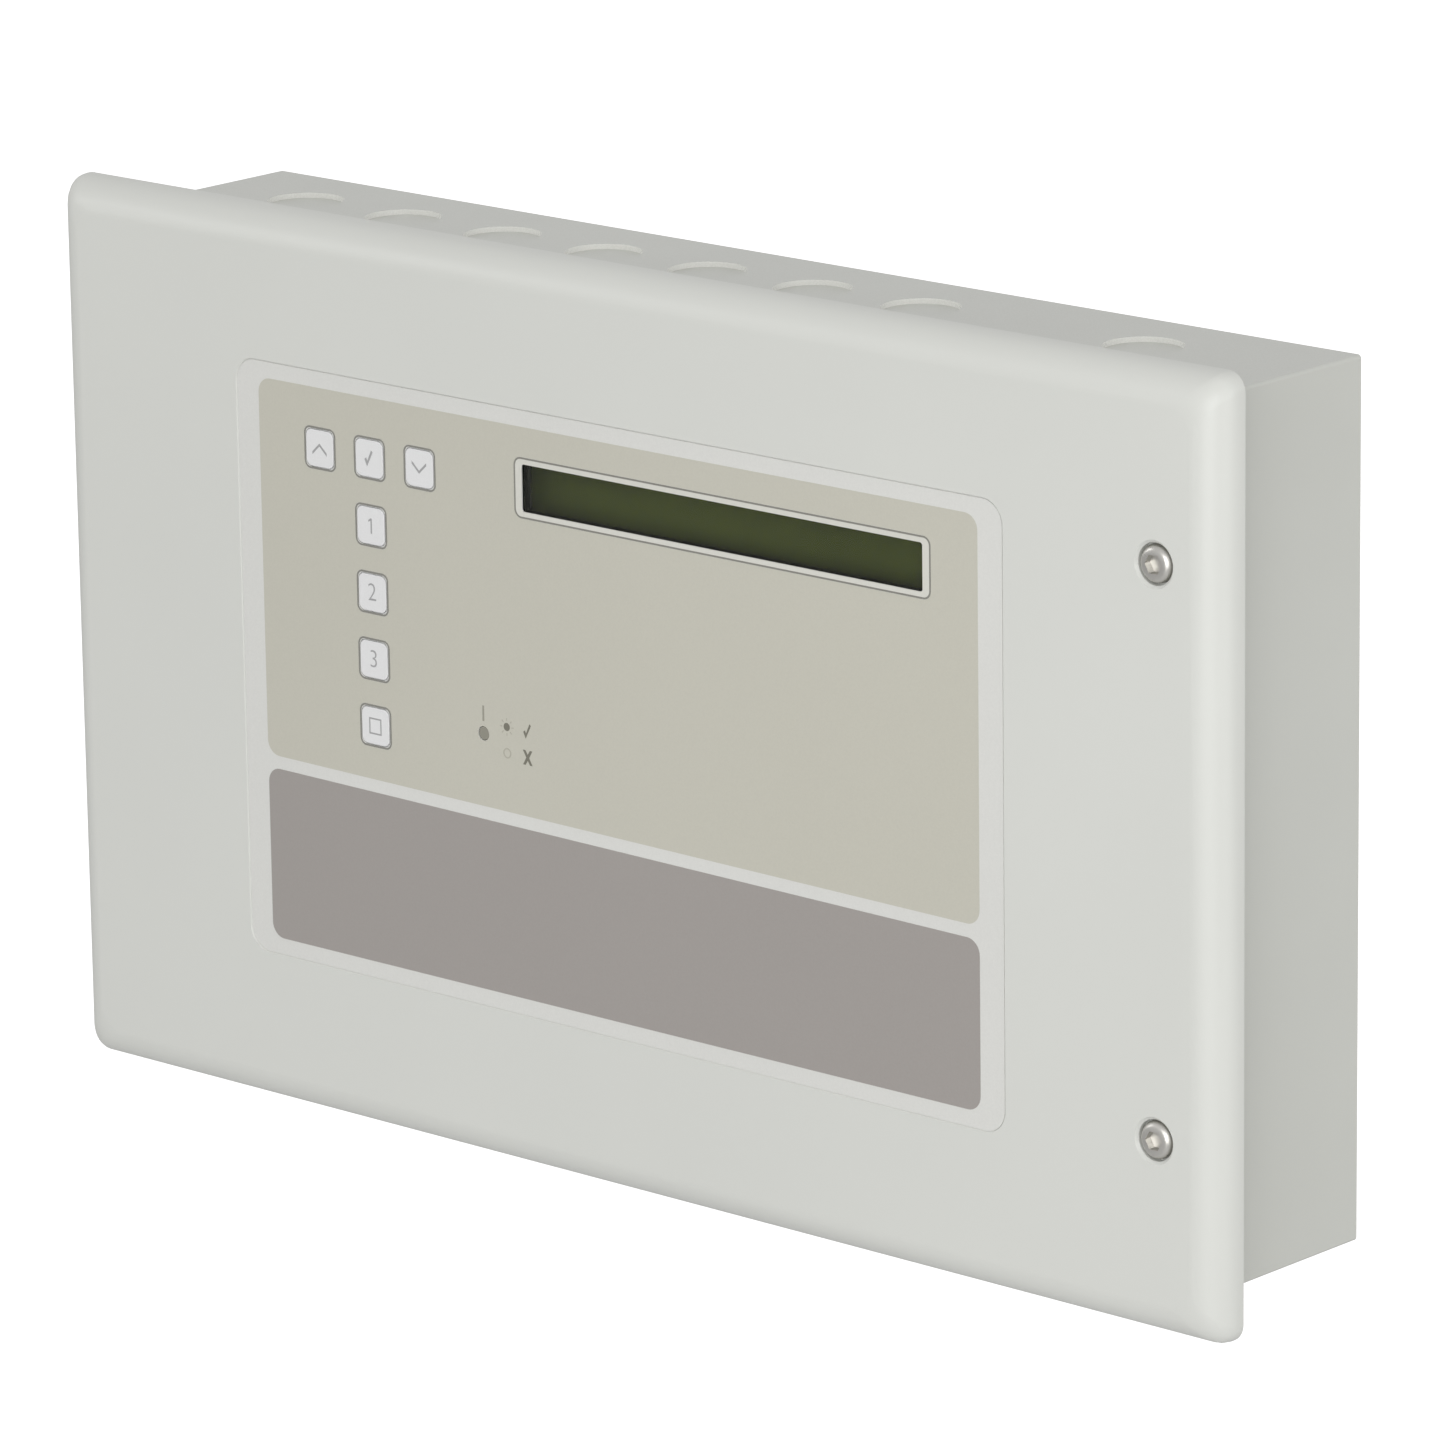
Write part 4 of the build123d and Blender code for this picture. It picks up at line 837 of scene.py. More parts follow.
def spin_round(shape: Shape, points: Sequence[Vector], closed: bool, centre: Vector,
               axis: Sequence[float]) -> None:
    """Spins a line of points a full turn about an axis.

    Args:
        shape: The bmesh to draw in.
        points: The line's points, in order.
        closed: Whether the last point joins the first.
        centre: A point on the axis.
        axis: The axis's direction.
    """
    verts = [shape.verts.new(point) for point in points]
    ends = verts[1:] + verts[:1] if closed else verts[1:]
    lines = [shape.edges.new(pair) for pair in zip(verts, ends)]
    bmesh.ops.spin(shape, geom=verts + lines, cent=centre, axis=axis, dvec=(0, 0, 0),
                   angle=math.tau, steps=TURN_STEPS, use_merge=True, use_duplicate=False)


def round_loop(shape: Shape, corners: Sequence[Spot], radius: float, y: float) -> None:
    """Draws a closed outline with rounded corners in a plane facing the front.

    Args:
        shape: The bmesh to draw in.
        corners: Corner points (x, z) in order, in metres.
        radius: Corner radius, in metres.
        y: The plane's place along Y.
    """
    points = [shape.verts.new((x, y, z)) for x, z in corners]
    shape.faces.new(points)
    if radius > 0:
        bmesh.ops.bevel(shape, geom=points, offset=radius, offset_type="OFFSET",
                        segments=CORNER_STEPS, profile=0.5, affect="VERTICES", material=-1)
    face = max(shape.faces, key=lambda item: item.calc_area())
    bmesh.ops.delete(shape, geom=[face], context="FACES_ONLY")


def rectangle(x: float, z: float, width: float, height: float) -> list[Spot]:
    """Corners of an upright rectangle about a centre."""
    left, right, foot, top = x - width / 2, x + width / 2, z - height / 2, z + height / 2
    return [(left, foot), (right, foot), (right, top), (left, top)]


def fill_and_thicken(shape: Shape, thickness: float) -> None:
    """Fills the outlines drawn so far, inner ones as holes, and gives them thickness."""
    bmesh.ops.triangle_fill(shape, use_beauty=True, use_dissolve=False, edges=shape.edges)
    push_out(shape, shape.faces[:], thickness)


def block(shape: Shape, centre: Sequence[float], size: Sequence[float]) -> None:
    """Adds a box about a centre to a shape."""
    place = Matrix.Translation(centre) @ Matrix.Diagonal((*size, 1.0))
    bmesh.ops.create_cube(shape, size=1.0, matrix=place)


def circle(shape: Shape, centre: Sequence[float], radius: float, steps: int, filled: bool) -> None:
    """Adds a circle that faces the front, filled or not."""
    place = Matrix.Translation(centre) @ Matrix.Rotation(math.pi / 2, 4, "X")
    bmesh.ops.create_circle(shape, cap_ends=filled, segments=steps, radius=radius, matrix=place)


def join(shape: Shape, part: Shape) -> None:
    """Adds one bmesh to another and frees it.

    Args:
        shape: The bmesh that grows.
        part: The bmesh that is added to it.
    """
    holder = mesh_of("joined", part)
    shape.from_mesh(holder)
    bpy.data.meshes.remove(holder)


def slotted_head(centre: Vector, radius: float, height: float, angle: float,
                 slot_share: float = 0.3, depth_share: float = 0.6, sides: int = 20) -> Shape:
    """A flat screw head with a straight slot.

    Args:
        centre: Centre of the head's foot.
        radius: The head's radius.
        height: How far it stands towards the front.
        angle: Turn of the slot, in degrees.
        slot_share: The slot's width over the head's radius.
        depth_share: The slot's depth over the head's height.
        sides: How many sides stand for the head's circle.

    Returns:
        The head's own bmesh.
    """
    edge = radius * slot_share / 2
    depth = height * depth_share
    head = bmesh.new()
    circle(head, (0, 0, 0), radius, sides, True)
    for side in (-1, 1):
        bmesh.ops.bisect_plane(
            head, geom=head.verts[:] + head.edges[:] + head.faces[:],
            plane_co=(0, 0, side * edge), plane_no=(0, 0, 1),
        )
    push_out(head, head.faces[:], height - depth)
    middles = ((face, face.calc_center_median()) for face in head.faces)
    lands = [face for face, middle in middles
             if abs(middle.z) > edge and middle.y < depth - height + TINY]
    push_out(head, lands, depth)
    turn = Matrix.Translation(centre) @ Matrix.Rotation(math.radians(angle), 4, "Y")
    bmesh.ops.transform(head, matrix=turn, verts=head.verts)
    return head


# ------------------------------------------------------------------ label
def print_mark(name: str, outlines: Sequence[Sequence[Spot]], finish: Finish, body: str,
               face: float) -> None:
    """Prints a small mark of straight-edged outlines.

    Args:
        name: The piece's name.
        outlines: The outlines, each a list of corners (x, z).
        finish: Its ink.
        body: The body it moves with.
        face: Where the printed face lies along Y.
    """
    shape = bmesh.new()
    for outline in outlines:
        part = bmesh.new()
        part.faces.new([part.verts.new((x, face, z)) for x, z in outline])
        push_out(part, part.faces[:], INK)
        join(shape, part)
    finish_piece(name, shape, finish, body)


@dataclass
class Label:
    """The printed label: its two panels, the outlines and the window's band."""

    body: str = "lid_assembly"
    border: float = 7.5 * MM
    top_border: float = 4.1 * MM
    foot_border: float = 4.2 * MM
    corner: float = 4.0 * MM
    divider: float = 3.4 * MM
    divider_left: float = -25.5 * MM
    divider_right: float = -27.7 * MM
    outline: float = 0.5 * MM
    clearance: float = 0.05 * MM
    key_inset: float = 0.8 * MM
    key_hole_r: float = 2.0 * MM
    key_line_r: float = 1.5 * MM
    lining: float = 1.8 * MM
    band_side: float = 2.1 * MM
    band_edge: float = 1.25 * MM
    band_hole_r: float = 2.4 * MM
    band_inner_r: float = 0.6 * MM
    band_outer_r: float = 1.8 * MM
    band_line_gap: float = 0.02 * MM
    lamp_hole: float = 3.8 * MM
    lamp_hole_r: float = 1.89 * MM
    bead_start: float = 0.01 * MM
    bead_end: float = 0.19 * MM
    bead_inner_r: float = 6.0 * MM
    bead_outer_r: float = 6.1 * MM
    bead_sunk: float = 0.2 * MM
    bead_t: float = 0.18 * MM
    low: Vector = field(init=False)
    high: Vector = field(init=False)
    face: float = field(init=False)

    def __post_init__(self) -> None:
        """Reads the label's box from the frame."""
        self.low, self.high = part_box("fascia_label")
        self.face = self.low[1]

    def key_opening(self, node: str, extra: float = 0.0) -> list[Spot]:
        """Corners of the label's cut-out round a key.

        Args:
            node: The key.
            extra: How much larger they lie all round.

        Returns:
            Four corners (x, z).
        """
        low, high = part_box(node)
        less = 2 * (self.key_inset - extra)
        return rectangle(*centre_of(node), high[0] - low[0] - less, high[2] - low[2] - less)

    def window_corners(self, band: bool, extra: float = 0.0) -> list[Spot]:
        """Corners of the display window or of its band.

        Args:
            band: Whether the band's are meant.
            extra: How much larger they lie all round.

        Returns:
            Four corners (x, z).
        """
        low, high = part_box("display_gasket")
        wide = 2 * (extra - self.lining + (self.band_side if band else 0.0))
        tall = 2 * (extra - self.lining + (self.band_edge if band else 0.0))
        return rectangle(*centre_of("display_gasket"), high[0] - low[0] + wide,
                         high[2] - low[2] + tall)

    def build(self) -> None:
        """Makes every printed piece."""
        refined("fascia_label", LABEL_BORDER)
        self.upper_panel()
        self.lower_panel()
        self.edge_bead()
        self.key_outlines()
        self.window_band()
        Legend(self.body, self.face - INK).build()
        KeyMarks().build()

    def panel(self, name: str, corners: Sequence[Spot], finish: Finish,
              holes: Iterable[tuple[list[Spot], float]] = ()) -> None:
        """A printed area with rounded corners and holes in it.

        Args:
            name: The piece's name.
            corners: The area's corners (x, z).
            finish: Its ink.
            holes: Each hole's corners and corner radius.
        """
        shape = bmesh.new()
        round_loop(shape, corners, self.corner, self.face)
        for hole, radius in holes:
            round_loop(shape, hole, radius, self.face)
        fill_and_thicken(shape, INK)
        finish_piece(name, shape, finish, self.body)

    def upper_panel(self) -> None:
        """The beige area, open at the keys, the window band and the lamp."""
        left, right = self.low[0] + self.border, self.high[0] - self.border
        top, half = self.high[2] - self.top_border, self.divider / 2
        corners = [(left, self.divider_left + half), (right, self.divider_right + half),
                   (right, top), (left, top)]
        grown = self.outline + self.clearance
        holes = [(self.key_opening(key, grown), self.key_hole_r) for key in KEY_NODES]
        holes.append((self.window_corners(True, grown), self.band_hole_r))
        lamp = rectangle(*centre_of("status_light_pipe"), self.lamp_hole, self.lamp_hole)
        holes.append((lamp, self.lamp_hole_r))
        self.panel("label_beige_print", corners, BEIGE_INK, holes)

    def lower_panel(self) -> None:
        """The plain grey area under the divider."""
        left, right = self.low[0] + self.border, self.high[0] - self.border
        bottom, half = self.low[2] + self.foot_border, self.divider / 2
        corners = [(left, bottom), (right, bottom),
                   (right, self.divider_right - half), (left, self.divider_left - half)]
        self.panel("label_grey_print", corners, GREY_INK)

    def ring(self, shape: Shape, loops: Sequence[tuple[list[Spot], float]]) -> None:
        """Adds a printed outline between two loops.

        Args:
            shape: The bmesh that holds the outlines made so far.
            loops: Each loop's corners and corner radius.
        """
        ring = bmesh.new()
        for corners, radius in loops:
            round_loop(ring, corners, radius, self.face)
        fill_and_thicken(ring, INK)
        join(shape, ring)

    def edge_bead(self) -> None:
        """The clear adhesive that shows in the gap between the label and its recess."""
        wide, tall = self.high[0] - self.low[0], self.high[2] - self.low[2]
        shape = bmesh.new()
        for extra, radius in ((self.bead_start, self.bead_inner_r),
                              (self.bead_end, self.bead_outer_r)):
            loop = rectangle(*centre_of("fascia_label"), wide + extra, tall + extra)
            round_loop(shape, loop, radius, self.face + self.bead_sunk)
        fill_and_thicken(shape, self.bead_t)
        finish_piece("label_edge_bead", shape, LABEL_BORDER, self.body)

    def key_outlines(self) -> None:
        """The dark line round each key."""
        shape = bmesh.new()
        for key in KEY_NODES:
            self.ring(shape, ((self.key_opening(key), self.key_line_r),
                              (self.key_opening(key, self.outline), self.key_line_r + self.outline)))
        finish_piece("label_key_outlines", shape, LINE_INK, self.body)

    def window_band(self) -> None:
        """The pale band round the display window and the dark line round that."""
        band, line = bmesh.new(), bmesh.new()
        self.ring(band, ((self.window_corners(False), self.band_inner_r),
                         (self.window_corners(True), self.band_outer_r)))
        finish_piece("label_window_band", band, BAND_INK, self.body)
        self.ring(line, ((self.window_corners(True, self.band_line_gap), self.band_outer_r),
                         (self.window_corners(True, self.outline), self.band_outer_r + self.outline)))
        finish_piece("label_window_line", line, LINE_INK, self.body)


@dataclass
class Legend:
    """The plain marks printed round the status lamp: a bar, dots, a tick and a cross."""

    body: str
    face: float
    bar_lift: float = 5.2 * MM
    bar_w: float = 0.6 * MM
    bar_h: float = 4.0 * MM
    upper_row: float = 3.0 * MM
    lower_row: float = -3.8 * MM
    dot_column: float = 8.0 * MM
    sign_column: float = 15.0 * MM
    dot_r: float = 1.05 * MM
    ring_r: float = 1.35 * MM
    ring_hole_r: float = 1.0 * MM
    rays: int = 8
    ray_start: float = 1.6 * MM
    ray_end: float = 2.3 * MM
    ray_line: float = 0.25 * MM
    tick_size: float = 1.6 * MM
    cross_h: float = 1.9 * MM
    cross_line: float = 0.85 * MM
    sides: int = 40

    def build(self) -> None:
        """The bar over the lamp, and the dot, ring, tick and cross beside it."""
        x, z = centre_of("status_light_pipe")
        dot_x, sign_x = x + self.dot_column, x + self.sign_column
        upper, lower = z + self.upper_row, z + self.lower_row
        bar = rectangle(x, z + self.bar_lift, self.bar_w, self.bar_h)
        self.mark("legend_bar", [bar], BAR_INK)
        self.disc("legend_dot", dot_x, upper, (self.dot_r,), LEGEND_INK)
        self.disc("legend_ring", dot_x, lower, (self.ring_r, self.ring_hole_r), FAINT_INK)
        rays = [slant(dot_x, upper, self.ray_start, self.ray_end, self.ray_line,
                      360 / self.rays * step) for step in range(self.rays)]
        self.mark("legend_rays", rays, FAINT_INK)
        self.mark("legend_tick", [tick(sign_x, upper, self.tick_size)], LEGEND_INK)
        self.mark("legend_cross", [cross(sign_x, lower, self.cross_h, self.cross_line)], LEGEND_INK)

    def mark(self, name: str, outlines: Sequence[Sequence[Spot]], finish: Finish) -> None:
        """Prints a mark of straight-edged outlines on the label."""
        print_mark(name, outlines, finish, self.body, self.face)

    def disc(self, name: str, x: float, z: float, radii: Sequence[float], finish: Finish) -> None:
        """Prints a dot, or a ring if there are two radii.

        Args:
            name: The piece's name.
            x: Centre along X.
            z: Centre along Z.
            radii: The outer radius, and the hole's if it has one.
            finish: Its ink.
        """
        shape = bmesh.new()
        for radius in radii:
            circle(shape, (x, self.face, z), radius, self.sides, False)
        fill_and_thicken(shape, INK)
        finish_piece(name, shape, finish, self.body)


@dataclass
class KeyMarks:
    """Plain marks on the keys: chevrons, a tick, numerals and a hollow square."""

    chevron_w: float = 5.0 * MM
    chevron_shift: float = 0.2 * MM
    tick_size: float = 1.75 * MM
    tick_shift: float = -0.1 * MM
    one_h: float = 3.9 * MM
    square_sides: Spot = (4.3 * MM, 3.5 * MM)
    numeral_size: float = 6.6 * MM
    numeral_offset: float = -0.09 * MM
    curve_steps: int = 8

    def build(self) -> None:
        """Prints each key's mark."""
        for node in KEY_NODES:
            name, face, body = f"{node}_mark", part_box(node)[0][1], body_of_node(node)
            if node == "key_enter":
                self.open_square(name, node, body, face)
            elif node in ("key_2", "key_3"):
                self.numeral(name, node, body, face)
            else:
                print_mark(name, [self.outline(node)], KEY_INK, body, face)

    def outline(self, node: str) -> list[Spot]:
        """The outline of a key's straight-edged mark.

        Args:
            node: The key.

        Returns:
            Corners (x, z).
        """
        x, z = centre_of(node)
        if node == "key_up":
            return chevron(x, z + self.chevron_shift, self.chevron_w, 1)
        if node == "key_down":
            return chevron(x, z - self.chevron_shift, self.chevron_w, -1)
        if node == "key_accept":
            return tick(x + self.tick_shift, z, self.tick_size)
        return figure_one(x, z, self.one_h)

    def open_square(self, name: str, node: str, body: str, face: float) -> None:
        """A small hollow square printed on a key.

        Args:
            name: The piece's name.
            node: The key.
            body: The body it moves with.
            face: Where the key's face lies along Y.
        """
        shape = bmesh.new()
        for side in self.square_sides:
            round_loop(shape, rectangle(*centre_of(node), side, side), 0.0, face)
        fill_and_thicken(shape, INK)
        finish_piece(name, shape, KEY_INK, body)

    def numeral(self, name: str, node: str, body: str, face: float) -> None:
        """A plain numeral printed on a key, the last sign of the key's name.

        Args:
            name: The piece's name.
            node: The key.
            body: The body it moves with.
            face: Where the key's face lies along Y.
        """
        x, z = centre_of(node)
        text = bpy.data.curves.new(name, "FONT")
        text.body = node[-1]
        text.size = self.numeral_size
        text.align_x = "CENTER"
        text.align_y = "CENTER"
        text.offset = self.numeral_offset
        text.resolution_u = self.curve_steps
        holder = add_object(name + "_text", text)
        bpy.context.view_layer.update()
        seen = holder.evaluated_get(bpy.context.evaluated_depsgraph_get())
        flat = bpy.data.meshes.new_from_object(seen)
        bpy.data.objects.remove(holder)
        shape = bmesh.new()
        shape.from_mesh(flat)
        bmesh.ops.remove_doubles(shape, verts=shape.verts, dist=TINY)
        turn = Matrix.Translation((x, face, z)) @ Matrix.Rotation(math.pi / 2, 4, "X")
        bmesh.ops.transform(shape, matrix=turn, verts=shape.verts)
        push_out(shape, shape.faces[:], INK)
        finish_piece(name, shape, KEY_INK, body)


def chevron(x: float, z: float, width: float, way: int) -> list[Spot]:
    """Outline of an open arrow head.

    Args:
        x: Centre along X.
        z: Centre along Z.
        width: Its whole width.
        way: 1 if it points up, -1 if it points down.

    Returns:
        Corners (x, z).
    """
    half = width / 2
    rise = way * width * 0.46
    line = 0.75 * MM * way
    foot, tip = z - rise / 2, z + rise / 2
    return [(x - half, foot), (x - half, foot - line), (x, tip - line),
            (x + half, foot - line), (x + half, foot), (x, tip)]


def figure_one(x: float, z: float, height: float) -> list[Spot]:
    """Outline of a figure one with a short flag.

    Args:
        x: Centre along X.
        z: Centre along Z.
        height: Its whole height.

    Returns:
        Corners (x, z).
    """
    line, flag = 0.45 * MM, 0.75 * MM
    flag_top, flag_foot, flag_root = 0.5 * MM, 0.95 * MM, 0.6 * MM
    foot, top = z - height / 2, z + height / 2
    return [(x + line, foot), (x + line, top), (x, top), (x - flag, top - flag_top),
            (x - flag, top - flag_foot), (x, top - flag_root), (x, foot)]


def tick(x: float, z: float, size: float) -> list[Spot]:
    """Outline of a tick about a centre, its strokes in proportion to a size."""
    points = ((-0.85, -0.15), (-0.35, -1.2), (0.8, 1.0), (0.5, 1.25), (-0.28, -0.38), (-0.5, 0.1))
    return [(x + px * size, z + pz * size) for px, pz in points]


def cross(x: float, z: float, height: float, line: float) -> list[Spot]:
    """Outline of an upright cross of two slanting strokes.

    Args:
        x: Centre along X.
        z: Centre along Z.
        height: Half its height.
        line: The strokes' width.

    Returns:
        Corners (x, z).
    """
    wide, half = height * 0.62, line / 2
    notch, waist = half * 1.8, half * 1.15
    right = [(wide + half, height), (wide - half, height)]
    left = [(-px, pz) for px, pz in reversed(right)]
    upper = right + [(0.0, notch)] + left
    lower = [(px, -pz) for px, pz in reversed(upper)]
    points = upper + [(-waist, 0.0)] + lower + [(waist, 0.0)]
    return [(x + px, z + pz) for px, pz in points]


def slant(x: float, z: float, start: float, end: float, line: float, angle: float) -> list[Spot]:
    """Outline of a short stroke pointing away from a centre.

    Args:
        x: Centre along X.
        z: Centre along Z.
        start: Its near end's distance from the centre.
        end: Its far end's distance.
        line: Its width.
        angle: Its direction, in degrees.

    Returns:
        Corners (x, z).
    """
    turn = Matrix.Rotation(math.radians(angle), 2)
    corners = [(start, -line / 2), (end, -line / 2), (end, line / 2), (start, line / 2)]
    return [tuple(turn @ Vector(corner) + Vector((x, z))) for corner in corners]


# ------------------------------------------------------------------ studio
@dataclass(frozen=True)
class Lamp:
    """A square soft light."""

    name: str
    place: tuple[float, float, float]
    size: float
    power: float

    def build(self, aim: Vector) -> None:
        """Sets the light up, aimed at a point.

        Args:
            aim: Where it points.
        """
        light = bpy.data.lights.new(self.name, "AREA")
        light.shape = "SQUARE"
        light.size = self.size
        light.energy = self.power
        holder = add_object(self.name, light)
        holder.location = self.place
        way = aim - Vector(self.place)
        holder.rotation_euler = way.to_track_quat("-Z", "Y").to_euler()


@dataclass
class Room:
    """The floor, the light and the camera."""

    floor_drop: float = 0.9
    floor_size: float = 60.0
    ambient: float = 0.70
    azimuth: float = 42.12
    elevation: float = 14.86
    roll: float = -0.78
    distance: float = 2.202
    lens: float = 219.87
    sensor: float = 36.0
    sight: float = 100.0
    aim: tuple[float, float, float] = (0.0052, -0.034, -0.0021)
    lamps: tuple[Lamp, ...] = (
        Lamp("key_light", (0.98, -1.55, 0.25), 1.3, 15.5),
        Lamp("side_light", (1.9, -0.2, 0.1), 1.0, 5.2),
        Lamp("left_light", (-1.6, -1.1, 0.7), 0.8, 3.0),
    )

    def build(self) -> None:
        """Sets up everything that isn't part of the object."""
        self.floor()
        self.sky()
        for lamp in self.lamps:
            lamp.build(Vector(self.aim))
        self.camera()
        bpy.context.scene.view_settings.view_transform = "Standard"
        bpy.context.scene.view_settings.look = "None"

    def floor(self) -> None:
        """A pale floor well below the panel, which hangs on a wall."""
        shape = bmesh.new()
        bmesh.ops.create_grid(shape, x_segments=1, y_segments=1, size=self.floor_size / 2)
        bmesh.ops.translate(shape, vec=(0, 0, CAD_BOX[0][2] - self.floor_drop), verts=shape.verts)
        mesh = mesh_of("floor", shape)
        mesh.materials.append(FLOOR_PALE.material())
        floor = add_object("floor", mesh)

    def sky(self) -> None:
        """Even white surroundings, which look white and light the panel softly."""
        world = bpy.data.worlds.new("surroundings")
        bpy.context.scene.world = world
        world.use_nodes = True
        tree = world.node_tree
        path = tree.nodes.new("ShaderNodeLightPath")
        mix = tree.nodes.new("ShaderNodeMixShader")
        tree.links.new(path.outputs["Is Camera Ray"], mix.inputs["Fac"])
        lit, seen = tree.nodes["Background"], tree.nodes.new("ShaderNodeBackground")
        for node, strength, target in ((lit, self.ambient, mix.inputs[1]), (seen, 1.0, mix.inputs[2])):
            node.inputs["Color"].default_value = (1.0, 1.0, 1.0, 1.0)
            node.inputs["Strength"].default_value = strength
            tree.links.new(node.outputs[0], target)
        tree.links.new(mix.outputs[0], tree.nodes["World Output"].inputs["Surface"])

    def camera(self) -> None:
        """A long lens, from the right and a little above."""
        data = bpy.data.cameras.new("camera")
        data.lens = self.lens
        data.sensor_width = self.sensor
        data.clip_end = self.sight
        camera = add_object("camera", data)
        turn, lift = math.radians(self.azimuth), math.radians(self.elevation)
        back = Vector((math.sin(turn) * math.cos(lift), -math.cos(turn) * math.cos(lift),
                       math.sin(lift)))
        camera.location = Vector(self.aim) + back * self.distance
        level = (-back).to_track_quat("-Z", "Y").to_matrix().to_4x4()
        rolled = level @ Matrix.Rotation(math.radians(self.roll), 4, "Z")
        camera.rotation_euler = rolled.to_euler()
        bpy.context.scene.camera = camera


# ------------------------------------------------------------------ small parts
@dataclass
class BoardParts:
    """Small soldered parts scattered over one face of a board."""

    board: str
    way: int
    clear_of: tuple[str, ...]
    screws: str
    seed: int
    column: float = 8.2 * MM
    row: float = 6.4 * MM
    margin: float = 6.0 * MM
    part_gap: float = 4 * MM
    screw_gap: float = 5 * MM
    resistors_below: float = 0.3
    capacitors_below: float = 0.55
    packages_below: float = 0.63
    chip_size: tuple[float, float, float] = (3.2 * MM, 0.7 * MM, 1.6 * MM)
    end: float = 0.45 * MM
    end_overlap: float = 0.1 * MM
    end_height_share: float = 1.08
    package_size: tuple[float, float, float] = (5.0 * MM, 1.6 * MM, 4.0 * MM)
    lead_pitch: float = 1.27 * MM
    kinds: dict[str, Shape] = field(default_factory=dict)
    face: float = field(init=False)
    covered: list[tuple[Vector, Vector]] = field(init=False)
    heads: list[Vector] = field(init=False)

    def __post_init__(self) -> None:
        """Finds the board's face, and the larger parts and screws to keep clear of."""
        low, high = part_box(self.board)
        self.face = low[1] if self.way < 0 else high[1]
        self.covered = [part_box(node) for node in self.clear_of]
        self.heads = [vert.co for vert in frame["nodes"][self.screws].data.vertices]

    def build(self) -> None:
        """Fills the free spots with chip resistors, capacitors and small packages."""
        chooser = random.Random(self.seed)
        finishes = {"resistors": BLACK_CASE, "capacitors": CHIP_TAN, "packages": BLACK_CASE,
                    "joints": TINNED}
        self.kinds = {kind: bmesh.new() for kind in finishes}
        for x, z in self.spots():
            draw = chooser.random()
            if draw < self.resistors_below:
                self.chip("resistors", x, z, chooser.random() < 0.5)
            elif draw < self.capacitors_below:
                self.chip("capacitors", x, z, chooser.random() < 0.5)
            elif draw < self.packages_below:
                self.package(x, z)
        for kind, shape in self.kinds.items():
            finish_piece(f"{self.board}_{kind}", shape, finishes[kind], body_of_node(self.board))

    def spots(self) -> list[Spot]:
        """Places on a grid that keep clear of larger parts, screws and the board's edge.

        Returns:
            The places (x, z), column by column.
        """
        low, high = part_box(self.board)
        free = []
        x = low[0] + self.margin
        while x < high[0] - self.margin:
            z = low[2] + self.margin
            while z < high[2] - self.margin:
                if self.is_free(x, z):
                    free.append((x, z))
                z += self.row
            x += self.column
        return free

    def is_free(self, x: float, z: float) -> bool:
        """Whether a place is clear of the larger parts and the screws.

        Args:
            x: The place along X.
            z: The place along Z.

        Returns:
            True if a small part may stand there.
        """
        for low, high in self.covered:
            if (low[0] - self.part_gap < x < high[0] + self.part_gap
                    and low[2] - self.part_gap < z < high[2] + self.part_gap):
                return False
        return not any(abs(head.x - x) < self.screw_gap and abs(head.z - z) < self.screw_gap
                       for head in self.heads)

    def chip(self, kind: str, x: float, z: float, upright: bool) -> None:
        """Adds a chip part with its two tinned ends.

        Args:
            kind: Which shape holds its body.
            x: Centre along X.
            z: Centre along Z.
            upright: Whether its length runs along Z.
        """
        length, height, width = self.chip_size
        y = self.face + self.way * height / 2
        tall = height * self.end_height_share
        block(self.kinds[kind], (x, y, z), (width, height, length) if upright else self.chip_size)
        for side in (-1, 1):
            reach = side * (length / 2 + self.end / 2 - self.end_overlap)
            at = (x, y, z + reach) if upright else (x + reach, y, z)
            cap = (width, tall, self.end) if upright else (self.end, tall, width)
            block(self.kinds["joints"], at, cap)

    def package(self, x: float, z: float) -> None:
        """Adds a small package with four leads on each long side.

        Args:
            x: Centre along X.
            z: Centre along Z.
        """
        height, width = self.package_size[1:]
        block(self.kinds["packages"], (x, self.face + self.way * height / 2, z), self.package_size)
        for side in (-1, 1):
            for step in range(4):
                place = (x + (step - 1.5) * self.lead_pitch, self.face, z + side * width / 2)
                gull_wing(self.kinds["joints"], place, (0.0, side), height / 2 * self.way)


def gull_wing(shape: Shape, place: Sequence[float], out: Spot, rise: float) -> None:
    """Adds a bent lead that leaves a package part of the way up and ends flat on the board.

    Args:
        shape: The bmesh that holds the leads.
        place: Where the lead's foot starts, at the package's side.
        out: The way out of the package, in x and z.
        rise: How far along Y the lead starts from the board.
    """
    x, y, z = place
    out_x, out_z = out
    lead, wide, reach, knee, heel = 0.2 * MM, 0.42 * MM, 0.9 * MM, 0.15 * MM, 0.1 * MM
    along_x = out_x != 0.0
    drop = (lead, abs(rise), wide) if along_x else (wide, abs(rise), lead)
    foot = (reach, lead, wide) if along_x else (wide, lead, reach)
    block(shape, (x + out_x * knee, y + rise / 2, z + out_z * knee), drop)
    middle = heel + reach / 2
    height = math.copysign(lead / 2, rise)
    block(shape, (x + out_x * middle, y + height, z + out_z * middle), foot)


